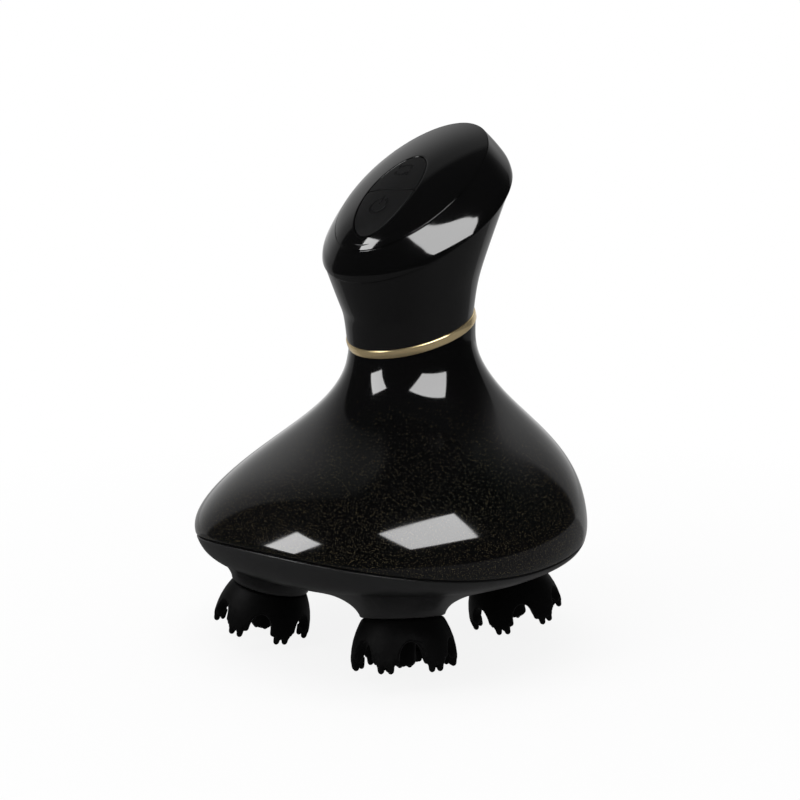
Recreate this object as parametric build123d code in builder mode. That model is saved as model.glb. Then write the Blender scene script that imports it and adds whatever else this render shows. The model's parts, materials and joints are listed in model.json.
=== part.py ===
from build123d import *
import os
from math import atan2, cos, degrees, hypot, pi, radians, sin, sqrt, tan

# An electric scalp massager: a bell-shaped base on four splayed, turning silicone claws, a leaning neck
# with a trim ring round its waist, and a pebble-shaped head with an oval pad of two keys.
# Millimetres. +Z is up, the keys and the sloping front of the head face -Y, and the lowest claw tips
# stand on Z = 0. Everything on a splayed head axis is modelled upright and then placed on that axis.

os.makedirs("parts", exist_ok=True)

# ---------------------------------------------------------------- driving dimensions
# Base, seen from above a slightly squared oval
base_half_width = 52.0
base_half_depth = 47.6
base_squareness = 2.15
underside_z = 21.0
skirt_height = 8.0
skirt_inset = 11.0
shoulder_z = 34.9

# The parting line arches over the front and back and dips at the sides
rim_crown_z = 34.4
rim_side_dip = 7.5
rim_tilt = 2.5

# Waist, where the trim ring sits
waist_z = 82.3
waist_lean = 10.0
waist_tilt = 23.0
waist_half_width = 18.0
waist_half_depth = 16.9
ring_height = 2.3
ring_proud = 0.3
ring_wall = 1.5

# Two ovals that shape the neck above the waist
neck_low_rise = 9.5
neck_low_tilt = 29.5
neck_low_half_width = 19.6
neck_low_half_depth = 18.6
neck_high_rise = 14.9
neck_high_lean = 0.8
neck_high_tilt = 34.5
neck_high_half_width = 21.2
neck_high_half_depth = 21.6

# Crease between the neck and the head
crease_z = 112.4
crease_lean = 12.6
crease_tilt = 38.2
crease_half_width = 26.6
crease_half_depth = 29.2
head_proud = 0.25

# Parting line of the head's cap, and the cap's crown
brow_z = 117.2
brow_lean = 11.0
brow_tilt = 40.4
brow_half_width = 25.4
brow_half_depth = 29.2
cap_z = 120.1
cap_lean = 10.9
cap_tilt = 40.0
cap_half_width = 19.9
cap_half_depth = 27.6
cap_rise = 4.6
cap_forward = 6.1
cap_roundness = 1.85

# Moulded walls and the fits between mouldings
shell_wall = 2.2
floor_thickness = 2.2
head_wall = 2.0
lip_thickness = 1.2
lip_height = 2.4
slip_fit = 0.15
seal_thickness = 0.5
seal_recess = 0.5
spigot_wall = 2.0
spigot_length = 2.4
bore_root = 1.0
neck_lip_inset = 4.4

# Keys
key_half_width = 7.75
key_half_length = 15.4
key_centre = -8.8
key_split = -8.2
key_gap = 0.16
key_travel = 0.5
key_flange = 1.2
key_flange_top = 0.9
key_flange_thickness = 1.1
key_stem_radius = 2.5
key_stem_length = 0.4
frame_clearance = 0.6
collar_wall = 2.6
frame_thickness = 0.8
board_thickness = 1.0
board_half_width = 13.0
board_half_length = 19.0
board_top = -3.5
switch_side = 6.0
switch_height = 1.6
plunger_radius = 1.7
plunger_height = 0.5
switch_spread = 7.0
board_centre = -4.0
frame_side_gap = 0.3
frame_wall = 0.8
standoff_radius = 1.2
cap_lip_root = 2.0

# Four splayed heads
head_offset = 24.7
head_splay = 13.7
head_names = ("front_left", "front_right", "back_right", "back_left")
head_turns = (-3.0, 33.0, 0.0, 30.0)

# Claw, from its tip plane upwards along the head axis
finger_count = 6
finger_end = 1.9
claw_mouth_radius = 12.8
claw_mouth_height = 4.8
claw_top_radius = 9.7
claw_top = 10.4
claw_wall = 3.3
claw_roof = 7.0
gap_top = 7.8
gap_top_width = 2.9
gap_foot_width = 7.4
nodule_radius = 0.72
nodule_end_radius = 0.4
nodule_spread = 1.2
nodule_ring = 11.75
nodule_inner_ring = 10.1
nodule_inner_lift = 0.3
centre_finger_radius = 2.6
centre_finger_root = 3.2
centre_finger_drop = 1.6
centre_nodule_ring = 1.35
nodule_length = 2.6

# Hub, seal, bush and spindle of each head
hub_socket = 8.8
hub_socket_radius = 6.5
hub_flange_radius = 9.8
hub_flange_bottom = 10.8
hub_flange_top = 11.9
hub_stub_radius = 5.0
hub_stub_top = 15.0
pod_end = 12.4
pod_end_radius = 10.4
pod_foot_radius = 19.5
pod_trim = 0.75
seal_bottom = 12.9
seal_top = 15.2
seal_radius = 7.2
spindle_radius = 2.0
spindle_bottom = 9.6
spindle_top = 34.0
running_fit = 0.05
bush_bottom = 16.2
bush_top = 25.2
bush_radius = 4.0
bush_flange_radius = 5.2
bush_flange = 1.0
pod_boss_radius = 6.2

# Gear deck
sun_teeth = 20
head_gear_teeth = 24
sun_mid_z = 27.0
face_width = 4.0
drive_teeth = 48
drive_pinion_teeth = 12
drive_module = 0.8
drive_gear_z = 31.3
drive_gear_face = 3.0
wheel_teeth = 40
motor_pinion_teeth = 10
wheel_module = 0.6
wheel_z = 35.0
wheel_face = 2.4
shaft_radius = 2.0
axle_radius = 1.5
drive_bush_radius = 4.0
plate_z = 38.0
plate_thickness = 2.2
plate_half_width = 33.9
plate_half_depth = 31.6
plate_squareness = 2.4
plate_boss_wall = 2.2
plate_bush_boss = 1.5
spindle_support = 3.2
running_gap = 0.4
sun_bush_boss = 1.4
drive_bush_z = 21.8
gear_web = 1.4
pillar_radius = 3.0
pillar_side = 30.4
pillar_front = -28.4

# Motor, cell and underside
motor_radius = 11.9
motor_length = 27.0
motor_flat = 9.6
motor_boss_radius = 3.0
motor_boss = 1.2
motor_shaft_radius = 1.0
cup_wall = 1.6
cup_height = 9.0
cell_radius = 8.4
cell_length = 34.5
cell_lean = 9.6
cell_button = 1.0
holder_wall = 1.4
screw_radius = 1.3
screw_head_radius = 2.9
screw_head = 1.6
screw_boss_radius = 3.2
screw_side = 37.6
screw_front = -35.0
screw_seat_z = 26.0
screw_recess = 0.6
screw_grip = 9.0
plate_screw_radius = 1.1
pillar_pilot = 7.0
contact_radius = 1.6
contact_shank = 0.9
contact_pitch = 14.0
contact_head = 0.8

# ---------------------------------------------------------------- derived places
def leaning_plane(lean, height, tilt):
    """A plane across the body, moved back by a lean and tipped forwards by a tilt in degrees."""
    return Plane(origin=(0, lean, height), x_dir=(1, 0, 0),
                 z_dir=(0, -sin(radians(tilt)), cos(radians(tilt))))


waist = leaning_plane(waist_lean, waist_z, waist_tilt)
crease = leaning_plane(crease_lean, crease_z, crease_tilt)
brow = leaning_plane(brow_lean, brow_z, brow_tilt)
cap_line = leaning_plane(cap_lean, cap_z, cap_tilt)
ring_foot = waist.offset(-ring_height / 2)
ring_head = waist.offset(ring_height / 2)

splay = radians(head_splay)
finger_pitch = 360 / finger_count
nodule_reach = hypot(nodule_ring, nodule_spread)
nodule_angle = degrees(atan2(nodule_spread, nodule_ring))


def tip_drop(turn):
    """How far the lowest tip of a claw turned by this angle lies under the centre of its tip plane."""
    angles = [turn + k * finger_pitch + side * nodule_angle for k in range(finger_count) for side in (-1, 1)]
    lowest = min(nodule_reach * cos(radians(a)) for a in angles)
    return -lowest * sin(splay) + nodule_end_radius * sin(splay)


tip_lift = max(tip_drop(turn) for turn in head_turns)
apex_z = tip_lift + head_offset * sqrt(2) / tan(splay)
axis_length = head_offset * sqrt(2) / sin(splay)
sun_cone = atan2(sin(splay), head_gear_teeth / sun_teeth + cos(splay))
head_cone = splay - sun_cone
cone_distance = (apex_z - sun_mid_z) / cos(sun_cone)
sun_pitch_radius = cone_distance * sin(sun_cone)
head_pitch_radius = cone_distance * sin(head_cone)
bevel_module = 2 * sun_pitch_radius / sun_teeth
head_gear_mid = axis_length - cone_distance * cos(head_cone)
drive_centres = drive_module * (drive_teeth + drive_pinion_teeth) / 2
wheel_centres = wheel_module * (wheel_teeth + motor_pinion_teeth) / 2
motor_y = drive_centres - wheel_centres
motor_z = plate_z + plate_thickness
holder_z = motor_z + motor_length + motor_boss
cover_wall = shell_wall + slip_fit + lip_thickness
spigot_half_width = waist_half_width - ring_wall
spigot_half_depth = waist_half_depth - ring_wall
key_flange_bottom = key_flange_top - key_flange_thickness
frame_top = key_flange_bottom - frame_clearance
frame_reach = key_flange + frame_side_gap + frame_wall
screw_places = [(-screw_side, 0), (screw_side, 0), (0, screw_front)]
pillar_places = [(-pillar_side, 0), (pillar_side, 0), (0, pillar_front)]


def head_plane(index):
    """Tip plane of one head: x points outwards, z up along the splayed axis."""
    side_x, side_y = ((-1, -1), (1, -1), (1, 1), (-1, 1))[index]
    out_x, out_y = side_x / sqrt(2), side_y / sqrt(2)
    return Plane(origin=(side_x * head_offset, side_y * head_offset, tip_lift),
                 x_dir=(out_x * cos(splay), out_y * cos(splay), sin(splay)),
                 z_dir=(-out_x * sin(splay), -out_y * sin(splay), cos(splay)))


# ---------------------------------------------------------------- forms shared by several pieces
def oval(half_width, half_depth, squareness=2.0, points=20):
    """A closed superellipse through a few evenly turned points, added to the sketch in progress."""
    places = []
    for k in range(points):
        c, s = cos(2 * pi * k / points), sin(2 * pi * k / points)
        reach = (abs(c) ** squareness + abs(s) ** squareness) ** (-1 / squareness)
        places.append((half_width * reach * s, -half_depth * reach * c))
    with BuildLine() as outline:
        Spline(places, periodic=True)
    make_face(outline.edges())


def loft_through(stations):
    """A smooth solid through ovals, each given as plane, half width, half depth and squareness."""
    with BuildPart() as form:
        for plane, half_width, half_depth, squareness in stations:
            with BuildSketch(plane):
                oval(half_width, half_depth, squareness)
        loft()
    return form.part


def inset(stations, wall):
    """The same stations moved in by a wall that keeps its thickness where the flank leans."""
    inner = []
    for k, (plane, half_width, half_depth, squareness) in enumerate(stations):
        before = stations[max(k - 1, 0)]
        after = stations[min(k + 1, len(stations) - 1)]
        rise = after[0].origin.Z - before[0].origin.Z
        lean = hypot(1, (after[1] - before[1]) / rise)
        inner.append((plane, half_width - wall * lean, half_depth - wall * lean, squareness))
    return inner


def skirt_station(height, wall=0.0, floor=0.0):
    """An oval of the turned-under skirt, this high above the underside."""
    curl = skirt_inset * max(0.0, 1 - (height - floor) / skirt_height) ** 2
    return (Plane.XY.offset(underside_z + height), base_half_width - wall - curl,
            base_half_depth - wall - curl, base_squareness)


def bell_station(height, width, depth, lean, tilt):
    """An oval of the bell, all five given as fractions from the shoulder to the waist."""
    turned = rim_tilt + (waist_tilt - rim_tilt) * tilt
    half_width = waist_half_width + (base_half_width - waist_half_width) * width
    half_depth = waist_half_depth + (base_half_depth - waist_half_depth) * depth
    squareness = 2 + (base_squareness - 2) * width
    foot = ring_foot.origin
    plane = leaning_plane(foot.Y * lean, shoulder_z + (foot.Z - shoulder_z) * height, turned)
    return plane, half_width, half_depth, squareness


bell = [
    bell_station(0.0, 1.0, 1.0, 0.0, 0.0),
    bell_station(0.22, 0.82, 0.87, 0.28, 0.12),
    bell_station(0.47, 0.44, 0.47, 0.58, 0.32),
    bell_station(0.67, 0.153, 0.16, 0.81, 0.54),
    bell_station(0.86, 0.015, 0.016, 0.92, 0.80),
    (ring_foot, waist_half_width, waist_half_depth, 2.0),
]
skirt = [skirt_station(share * skirt_height) for share in (0.0, 0.275, 0.625, 1.0)]
skirt_inside = [skirt_station(h, cover_wall, floor_thickness) for h in (floor_thickness, 5.0, 8.0)]

neck = [
    (ring_head, waist_half_width, waist_half_depth, 2.0),
    (leaning_plane(waist_lean, waist_z + neck_low_rise, neck_low_tilt),
     neck_low_half_width, neck_low_half_depth, 2.0),
    (leaning_plane(waist_lean + neck_high_lean, waist_z + neck_high_rise, neck_high_tilt),
     neck_high_half_width, neck_high_half_depth, 2.0),
    (crease, crease_half_width, crease_half_depth, 2.0),
]
band = [
    (crease, crease_half_width + head_proud, crease_half_depth + head_proud, 2.0),
    (brow, brow_half_width, brow_half_depth, 2.0),
    (cap_line, cap_half_width, cap_half_depth, 2.0),
]


def inner_bell(wall):
    """The bell moved in by a wall, straight-sided under the shoulder and narrowed to the spigot's bore."""
    return loft_through([skirt_station(h, wall, -skirt_height) for h in (0, skirt_height)] + inset(bell, wall)[:-1]
                        + [(ring_foot, spigot_half_width - spigot_wall, spigot_half_depth - spigot_wall, 2.0)])


def crown(wall=0.0):
    """The cap's domed solid, from its parting line up to its crown, moved in by a wall."""
    with BuildPart() as dome:
        for rise in (0.0, 0.3, 0.55, 0.75, 0.9, 0.98):
            reach = (1 - rise ** cap_roundness) ** (1 / cap_roundness)
            with BuildSketch(cap_line.offset((cap_rise - wall) * rise)):
                with Locations((0, -cap_forward * rise)):
                    Ellipse((cap_half_width - wall) * reach, (cap_half_depth - wall) * reach)
        loft()
    return dome.part


def below_rim(lift=0.0):
    """Everything under the wavy parting surface, raised by this much."""
    reach = 1.5 * base_half_width
    dip = rim_side_dip * (reach / base_half_width) ** 2
    plane = Plane(origin=(0, 0, 0), x_dir=(1, 0, 0), z_dir=(0, -cos(radians(rim_tilt)), -sin(radians(rim_tilt))))
    with BuildPart() as block:
        with BuildSketch(plane):
            with BuildLine():
                Bezier((-reach, rim_crown_z + lift - dip), (0, rim_crown_z + lift + dip),
                       (reach, rim_crown_z + lift - dip))
                Polyline((reach, rim_crown_z + lift - dip), (reach, -reach), (-reach, -reach),
                         (-reach, rim_crown_z + lift - dip))
            make_face()
        extrude(amount=reach, both=True)
    return block.part


def toothed(teeth, pitch_radius, turn=0.0, scale=1.0):
    """A gear's outline with straight flanks, added to the sketch in progress."""
    module = 2 * pitch_radius / teeth
    root, tip = pitch_radius - 1.25 * module, pitch_radius + 0.95 * module
    half_root, half_tip = 0.94 * module, 0.42 * module
    places = []
    for k in range(teeth):
        middle = radians(turn) + 2 * pi * k / teeth
        for reach, half in ((root, -half_root), (tip, -half_tip), (tip, half_tip), (root, half_root)):
            angle = middle + half / reach
            places.append((scale * reach * cos(angle), scale * reach * sin(angle)))
    with BuildLine() as outline:
        Polyline(places, close=True)
    make_face(outline.edges())


def spur(teeth, module, bottom, face, centre_y=0.0, turn=0.0):
    """A plain spur gear blank with its teeth cut, on a vertical axis."""
    with BuildPart() as gear:
        with BuildSketch(Plane(origin=(0, centre_y, bottom))):
            toothed(teeth, module * teeth / 2, turn)
        extrude(amount=face)
    return gear.part


def save(piece, name):
    """Label a finished piece and write it."""
    piece.part.label = name
    export_step(piece.part, f"parts/{name}.step")


# ---------------------------------------------------------------- base: shell, cover and seal
body_outside = loft_through(skirt + bell)
body_inside = inner_bell(shell_wall)
cover_inside = loft_through(skirt_inside + inset(bell[:2], cover_wall))

with BuildPart() as shell_bosses:
    with BuildSketch(Plane.XY.offset(screw_seat_z)):
        with Locations(*screw_places):
            Circle(screw_boss_radius)
    extrude(amount=shoulder_z)
    add(body_outside, mode=Mode.INTERSECT)

with BuildPart() as base_shell:
    add(body_outside)
    with BuildSketch(ring_foot):
        oval(spigot_half_width, spigot_half_depth)
    extrude(amount=ring_height + spigot_length)
    add(body_inside, mode=Mode.SUBTRACT)
    with BuildSketch(ring_foot.offset(-bore_root)):
        oval(spigot_half_width - spigot_wall, spigot_half_depth - spigot_wall)
    extrude(amount=bore_root + ring_height + spigot_length, mode=Mode.SUBTRACT)
    add(below_rim(seal_thickness / 2), mode=Mode.SUBTRACT)
    add(shell_bosses.part)
    with BuildSketch(Plane.XY.offset(screw_seat_z)):
        with Locations(*screw_places):
            Circle(screw_radius)
    extrude(amount=screw_grip, mode=Mode.SUBTRACT)
save(base_shell, "base_shell")

# One flared pod: its end turns with the splayed axis and its foot lies flat in the underside
pod_foot_z = underside_z + 0.2
pod_stations = []
for share, radius in ((0.0, pod_end_radius), (0.30, 11.4), (0.62, 14.2), (1.0, pod_foot_radius)):
    turned = splay * (1 - share)
    along = pod_end + (pod_foot_z - tip_lift - pod_end * cos(splay)) * share
    pod_stations.append((share, radius, turned, along))

pods = []
for index in range(len(head_names)):
    axis = head_plane(index)
    out = Vector(axis.x_dir.X, axis.x_dir.Y, 0).normalized()
    with BuildPart() as pod:
        for share, radius, turned, along in pod_stations:
            centre = axis.origin + axis.z_dir * along
            if share == 1.0:
                centre = axis.origin + axis.z_dir * ((pod_foot_z - tip_lift) / cos(splay))
            lean = Vector(0, 0, 1) * cos(turned) - out * sin(turned)
            across = out * cos(turned) + Vector(0, 0, 1) * sin(turned)
            with BuildSketch(Plane(origin=centre, x_dir=across, z_dir=lean)):
                Circle(radius)
        loft()
        with BuildSketch(Plane.XY):
            oval(base_half_width - skirt_inset * pod_trim, base_half_depth - skirt_inset * pod_trim,
                 base_squareness)
        extrude(amount=pod_foot_z + 1.0, mode=Mode.INTERSECT)
    pods.append(pod.part)

with BuildPart() as lip:
    add(inner_bell(shell_wall + slip_fit))
    add(below_rim(lip_height), mode=Mode.INTERSECT)
    add(below_rim(-lip_height), mode=Mode.SUBTRACT)
    add(cover_inside, mode=Mode.SUBTRACT)

with BuildPart() as base_cover:
    add(body_outside)
    add(below_rim(-seal_thickness / 2), mode=Mode.INTERSECT)
    add(cover_inside, mode=Mode.SUBTRACT)
    add(lip.part)
    for pod_form in pods:
        add(pod_form)
    # Screw bosses and the pillars that carry the gear plate
    with BuildSketch(Plane.XY.offset(underside_z + floor_thickness / 2)):
        with Locations(*screw_places):
            Circle(screw_boss_radius)
    extrude(amount=screw_seat_z - underside_z - floor_thickness / 2)
    with BuildSketch(Plane.XY.offset(underside_z + floor_thickness / 2)):
        with Locations(*pillar_places):
            Circle(pillar_radius)
        with Locations((0, drive_centres)):
            Circle(pillar_radius)
    extrude(amount=drive_gear_z - running_gap - underside_z - floor_thickness / 2)
    with BuildSketch(Plane.XY.offset(drive_gear_z - 1.0)):
        with Locations(*pillar_places):
            Circle(pillar_radius)
    extrude(amount=plate_z - drive_gear_z + 1.0)
    with BuildSketch(Plane.XY.offset(underside_z + floor_thickness / 2)):
        Circle(drive_bush_radius + lip_thickness)
    extrude(amount=floor_thickness / 2 + sun_bush_boss)
    # Screw holes with recessed seats, pillar pilots, axle and bush seats
    with BuildSketch(Plane.XY.offset(underside_z)):
        with Locations(*screw_places):
            Circle(screw_radius + slip_fit)
        with Locations((-contact_pitch / 2, 0), (contact_pitch / 2, 0)):
            Circle(contact_shank)
    extrude(amount=screw_seat_z - underside_z, mode=Mode.SUBTRACT)
    with BuildSketch(Plane.XY.offset(underside_z - 1.0)):
        with Locations(*screw_places):
            Circle(screw_head_radius + slip_fit)
    extrude(amount=screw_head + 1.0, mode=Mode.SUBTRACT)
    with BuildSketch(Plane.XY.offset(underside_z - 1.0)):
        with Locations((-contact_pitch / 2, 0), (contact_pitch / 2, 0)):
            Circle(contact_radius)
    extrude(amount=contact_head + 1.0, mode=Mode.SUBTRACT)
    with BuildSketch(Plane.XY.offset(plate_z - pillar_pilot)):
        with Locations(*pillar_places):
            Circle(plate_screw_radius)
    extrude(amount=pillar_pilot, mode=Mode.SUBTRACT)
    with BuildSketch(Plane.XY.offset(underside_z + floor_thickness)):
        with Locations((0, drive_centres)):
            Circle(axle_radius)
    extrude(amount=drive_gear_z, mode=Mode.SUBTRACT)
    with BuildSketch(Plane.XY.offset(drive_bush_z)):
        Circle(drive_bush_radius)
    extrude(amount=floor_thickness + sun_bush_boss, mode=Mode.SUBTRACT)
    # Seal seat, hub clearance and bush seat along each splayed axis
    for index in range(len(head_names)):
        axis = head_plane(index)
        with BuildSketch(axis.offset(pod_end + 2 * lip_thickness)):
            Circle(pod_boss_radius)
        extrude(amount=bush_top - bush_flange - pod_end - 2 * lip_thickness)
        with BuildSketch(axis.offset(pod_end - 2.0)):
            Circle(seal_radius)
        extrude(amount=seal_top - pod_end + 2.0, mode=Mode.SUBTRACT)
        with BuildSketch(axis.offset(pod_end)):
            Circle(hub_stub_radius + 4 * slip_fit)
        extrude(amount=bush_bottom - pod_end, mode=Mode.SUBTRACT)
        with BuildSketch(axis.offset(pod_end)):
            Circle(bush_radius)
        extrude(amount=bush_top - pod_end, mode=Mode.SUBTRACT)
save(base_cover, "base_cover")

with BuildPart() as rim_seal:
    add(inner_bell(seal_recess))
    add(body_inside, mode=Mode.SUBTRACT)
    add(below_rim(seal_thickness / 2), mode=Mode.INTERSECT)
    add(below_rim(-seal_thickness / 2), mode=Mode.SUBTRACT)
save(rim_seal, "rim_seal")

# ---------------------------------------------------------------- waist, neck and head
with BuildPart() as trim_ring:
    with BuildSketch(ring_foot):
        oval(waist_half_width + ring_proud, waist_half_depth + ring_proud)
    extrude(amount=ring_height)
    chamfer(trim_ring.edges(), length=ring_proud)
    with BuildSketch(ring_foot):
        oval(spigot_half_width, spigot_half_depth)
    extrude(amount=ring_height, mode=Mode.SUBTRACT)
save(trim_ring, "trim_ring")

with BuildPart() as handle_sleeve:
    add(loft_through(neck))
    add(loft_through(inset(neck, shell_wall)), mode=Mode.SUBTRACT)
    with BuildSketch(ring_head):
        oval(spigot_half_width, spigot_half_depth)
    extrude(amount=spigot_length, mode=Mode.SUBTRACT)
save(handle_sleeve, "handle_sleeve")

# The plug under the band drops into the neck, and the band's hollow stops above a ledge that carries it
with BuildPart() as neck_plug:
    add(loft_through(inset(neck, shell_wall + slip_fit)))
    with BuildSketch(crease.offset(-lip_height)):
        Rectangle(4 * crease_half_width, 4 * crease_half_depth)
    extrude(amount=lip_height, mode=Mode.INTERSECT)

band_inside = inset(band, head_wall)
band_mouth_width, band_mouth_depth = band_inside[-1][1:3]
band_hollow = loft_through(
    [(crease.offset(lip_thickness), band_inside[0][1] - 2 * head_proud, band_inside[0][2] - 2 * head_proud, 2.0)]
    + band_inside[1:]
    + [(cap_line.offset(lip_thickness), band_mouth_width - head_wall, band_mouth_depth - head_wall, 2.0)])

with BuildPart() as head_band:
    add(loft_through(band))
    add(neck_plug.part)
    add(band_hollow, mode=Mode.SUBTRACT)
    with BuildSketch(crease.offset(-lip_height)):
        oval(crease_half_width - neck_lip_inset, crease_half_depth - neck_lip_inset)
    extrude(amount=lip_height + 2 * lip_thickness, mode=Mode.SUBTRACT)
    with BuildSketch(cap_line.offset(frame_top - frame_thickness - slip_fit)):
        with Locations((0, key_centre)):
            Ellipse(key_half_width + frame_reach + slip_fit, key_half_length + frame_reach + slip_fit)
    extrude(amount=cap_rise, mode=Mode.SUBTRACT)
save(head_band, "head_band")

cap_solid = crown()
with BuildPart() as head_cap:
    add(cap_solid)
    add(crown(head_wall), mode=Mode.SUBTRACT)
    # Collar that guides the keys, and a lip that drops into the band
    with BuildSketch(cap_line.offset(key_flange_top)):
        with Locations((0, key_centre)):
            Ellipse(key_half_width + collar_wall, key_half_length + collar_wall)
    extrude(amount=cap_rise)
    for height, length in ((0, cap_lip_root), (-lip_height, lip_height)):
        with BuildSketch(cap_line.offset(height)):
            Ellipse(band_mouth_width - slip_fit, band_mouth_depth - slip_fit)
            Ellipse(band_mouth_width - slip_fit - lip_thickness, band_mouth_depth - slip_fit - lip_thickness,
                    mode=Mode.SUBTRACT)
        extrude(amount=length)
        if height == 0:
            add(cap_solid, mode=Mode.INTERSECT)
    with BuildSketch(cap_line.offset(-lip_height)):
        with Locations((0, key_centre)):
            Ellipse(key_half_width + frame_reach + slip_fit, key_half_length + frame_reach + slip_fit)
    extrude(amount=lip_height + key_flange_top, mode=Mode.SUBTRACT)
    with BuildSketch(cap_line.offset(-lip_height)):
        with Locations((0, key_centre)):
            Ellipse(key_half_width + key_gap, key_half_length + key_gap)
    extrude(amount=cap_rise + 2 * lip_height, mode=Mode.SUBTRACT)
save(head_cap, "head_cap")

# ---------------------------------------------------------------- keys, frame and board
with BuildPart() as key_pad:
    with BuildSketch(cap_line.offset(key_flange_bottom)):
        with Locations((0, key_centre)):
            Ellipse(key_half_width, key_half_length)
    extrude(amount=2 * cap_rise)
    add(cap_solid, mode=Mode.INTERSECT)
    with BuildSketch(cap_line.offset(key_flange_bottom)):
        with Locations((0, key_centre)):
            Ellipse(key_half_width + key_flange, key_half_length + key_flange)
    extrude(amount=key_flange_thickness - slip_fit)
    with BuildSketch(cap_line.offset(key_flange_bottom - key_stem_length)):
        with Locations((0, key_centre - switch_spread), (0, key_centre + switch_spread)):
            Circle(key_stem_radius)
    extrude(amount=key_stem_length)

for name, side in (("power_key", -1), ("mode_key", 1)):
    with BuildPart() as key:
        add(key_pad.part)
        with BuildSketch(cap_line.offset(-cap_rise)):
            with Locations((0, key_split - side * (key_half_length * 2 - key_gap / 2))):
                Rectangle(4 * key_half_width, key_half_length * 4)
        extrude(amount=3 * cap_rise, mode=Mode.SUBTRACT)
    save(key, name)

switch_places = [(0, key_centre - switch_spread), (0, key_centre + switch_spread)]
with BuildPart() as keypad_frame:
    with BuildSketch(cap_line.offset(frame_top - frame_thickness)):
        with Locations((0, key_centre)):
            Ellipse(key_half_width + frame_reach, key_half_length + frame_reach)
    extrude(amount=key_flange_top - frame_top + frame_thickness)
    with BuildSketch(cap_line.offset(frame_top)):
        with Locations((0, key_centre)):
            Ellipse(key_half_width + frame_reach - frame_wall, key_half_length + frame_reach - frame_wall)
    extrude(amount=key_flange_top - frame_top, mode=Mode.SUBTRACT)
    with BuildSketch(cap_line.offset(frame_top - frame_thickness)):
        with Locations(*switch_places):
            Circle(key_stem_radius + 4 * slip_fit)
    extrude(amount=frame_thickness, mode=Mode.SUBTRACT)
    with BuildSketch(cap_line.offset(board_top)):
        with Locations((0, key_centre)):
            with GridLocations(1.6 * key_half_width, 1.1 * key_half_length, 2, 2):
                Circle(standoff_radius)
    extrude(amount=frame_top - frame_thickness - board_top)
save(keypad_frame, "keypad_frame")

with BuildPart() as control_board:
    with BuildSketch(cap_line.offset(board_top - board_thickness)):
        with Locations((0, board_centre)):
            Ellipse(board_half_width, board_half_length)
    extrude(amount=board_thickness)
save(control_board, "control_board")

with BuildPart() as tact_switches:
    with BuildSketch(cap_line.offset(board_top)):
        with Locations(*switch_places):
            Rectangle(switch_side, switch_side)
    extrude(amount=switch_height)
    with BuildSketch(cap_line.offset(board_top + switch_height)):
        with Locations(*switch_places):
            Circle(plunger_radius)
    extrude(amount=plunger_height)
save(tact_switches, "tact_switches")

# ---------------------------------------------------------------- cell, motor and gear deck
with BuildPart() as battery_holder:
    with BuildSketch(Plane(origin=(0, cell_lean, holder_z))):
        Circle(cell_radius + holder_wall)
    extrude(amount=cell_length)
    with BuildSketch(Plane(origin=(0, cell_lean, holder_z + holder_wall))):
        Circle(cell_radius)
    extrude(amount=cell_length, mode=Mode.SUBTRACT)
    with BuildSketch(Plane(origin=(0, cell_lean - cell_radius, holder_z + 2 * holder_wall))):
        Rectangle(1.3 * cell_radius, 1.3 * cell_radius)
    extrude(amount=cell_length, mode=Mode.SUBTRACT)
save(battery_holder, "battery_holder")

with BuildPart() as battery_cell:
    with BuildSketch(Plane(origin=(0, cell_lean, holder_z + holder_wall))):
        Circle(cell_radius)
    extrude(amount=cell_length - cell_button)
    chamfer(battery_cell.edges(), length=cell_button / 2)
    with BuildSketch(Plane(origin=(0, cell_lean, holder_z + holder_wall + cell_length - cell_button))):
        Circle(cell_radius / 3)
    extrude(amount=cell_button)
save(battery_cell, "battery_cell")

with BuildPart() as motor_can:
    with BuildSketch(Plane(origin=(0, motor_y, motor_z))):
        Circle(motor_radius)
        Rectangle(2 * motor_flat, 2 * motor_radius, mode=Mode.INTERSECT)
    extrude(amount=motor_length)
    with BuildSketch(Plane(origin=(0, motor_y, motor_z - motor_boss))):
        Circle(motor_boss_radius)
    extrude(amount=motor_length + 2 * motor_boss)
    with BuildSketch(Plane(origin=(0, motor_y, motor_z - motor_boss))):
        Circle(motor_shaft_radius + running_fit)
    extrude(amount=motor_length / 3, mode=Mode.SUBTRACT)
save(motor_can, "motor_can")

with BuildPart() as gear_plate:
    with BuildSketch(Plane.XY.offset(plate_z)):
        oval(plate_half_width, plate_half_depth, plate_squareness)
    extrude(amount=plate_thickness)
    for index in range(len(head_names)):
        with BuildSketch(head_plane(index).offset(spindle_top - spindle_support)):
            Circle(spindle_radius + plate_boss_wall)
        extrude(until=Until.NEXT)
    with BuildSketch(Plane.XY.offset(plate_z)):
        with Locations((0, motor_y)):
            Circle(motor_radius + cup_wall)
    extrude(amount=plate_thickness + cup_height)
    with BuildSketch(Plane.XY.offset(motor_z)):
        with Locations((0, motor_y)):
            Circle(motor_radius)
    extrude(amount=cup_height, mode=Mode.SUBTRACT)
    with BuildSketch(Plane.XY.offset(plate_z - plate_bush_boss)):
        Circle(drive_bush_radius + lip_thickness)
    extrude(amount=plate_bush_boss)
    with BuildSketch(Plane.XY.offset(plate_z - plate_bush_boss)):
        Circle(drive_bush_radius)
        with Locations((0, motor_y)):
            Circle(motor_boss_radius)
    extrude(amount=plate_bush_boss + plate_thickness, mode=Mode.SUBTRACT)
    with BuildSketch(Plane.XY.offset(plate_z)):
        with Locations((0, drive_centres)):
            Circle(axle_radius)
        with Locations(*pillar_places):
            Circle(plate_screw_radius + slip_fit)
    extrude(amount=plate_thickness, mode=Mode.SUBTRACT)
    for index in range(len(head_names)):
        with BuildSketch(head_plane(index).offset(spindle_top - spindle_support - 1.0)):
            Circle(spindle_radius + running_fit)
        extrude(amount=spindle_support + 1.0 + slip_fit, mode=Mode.SUBTRACT)
save(gear_plate, "gear_plate")

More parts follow.
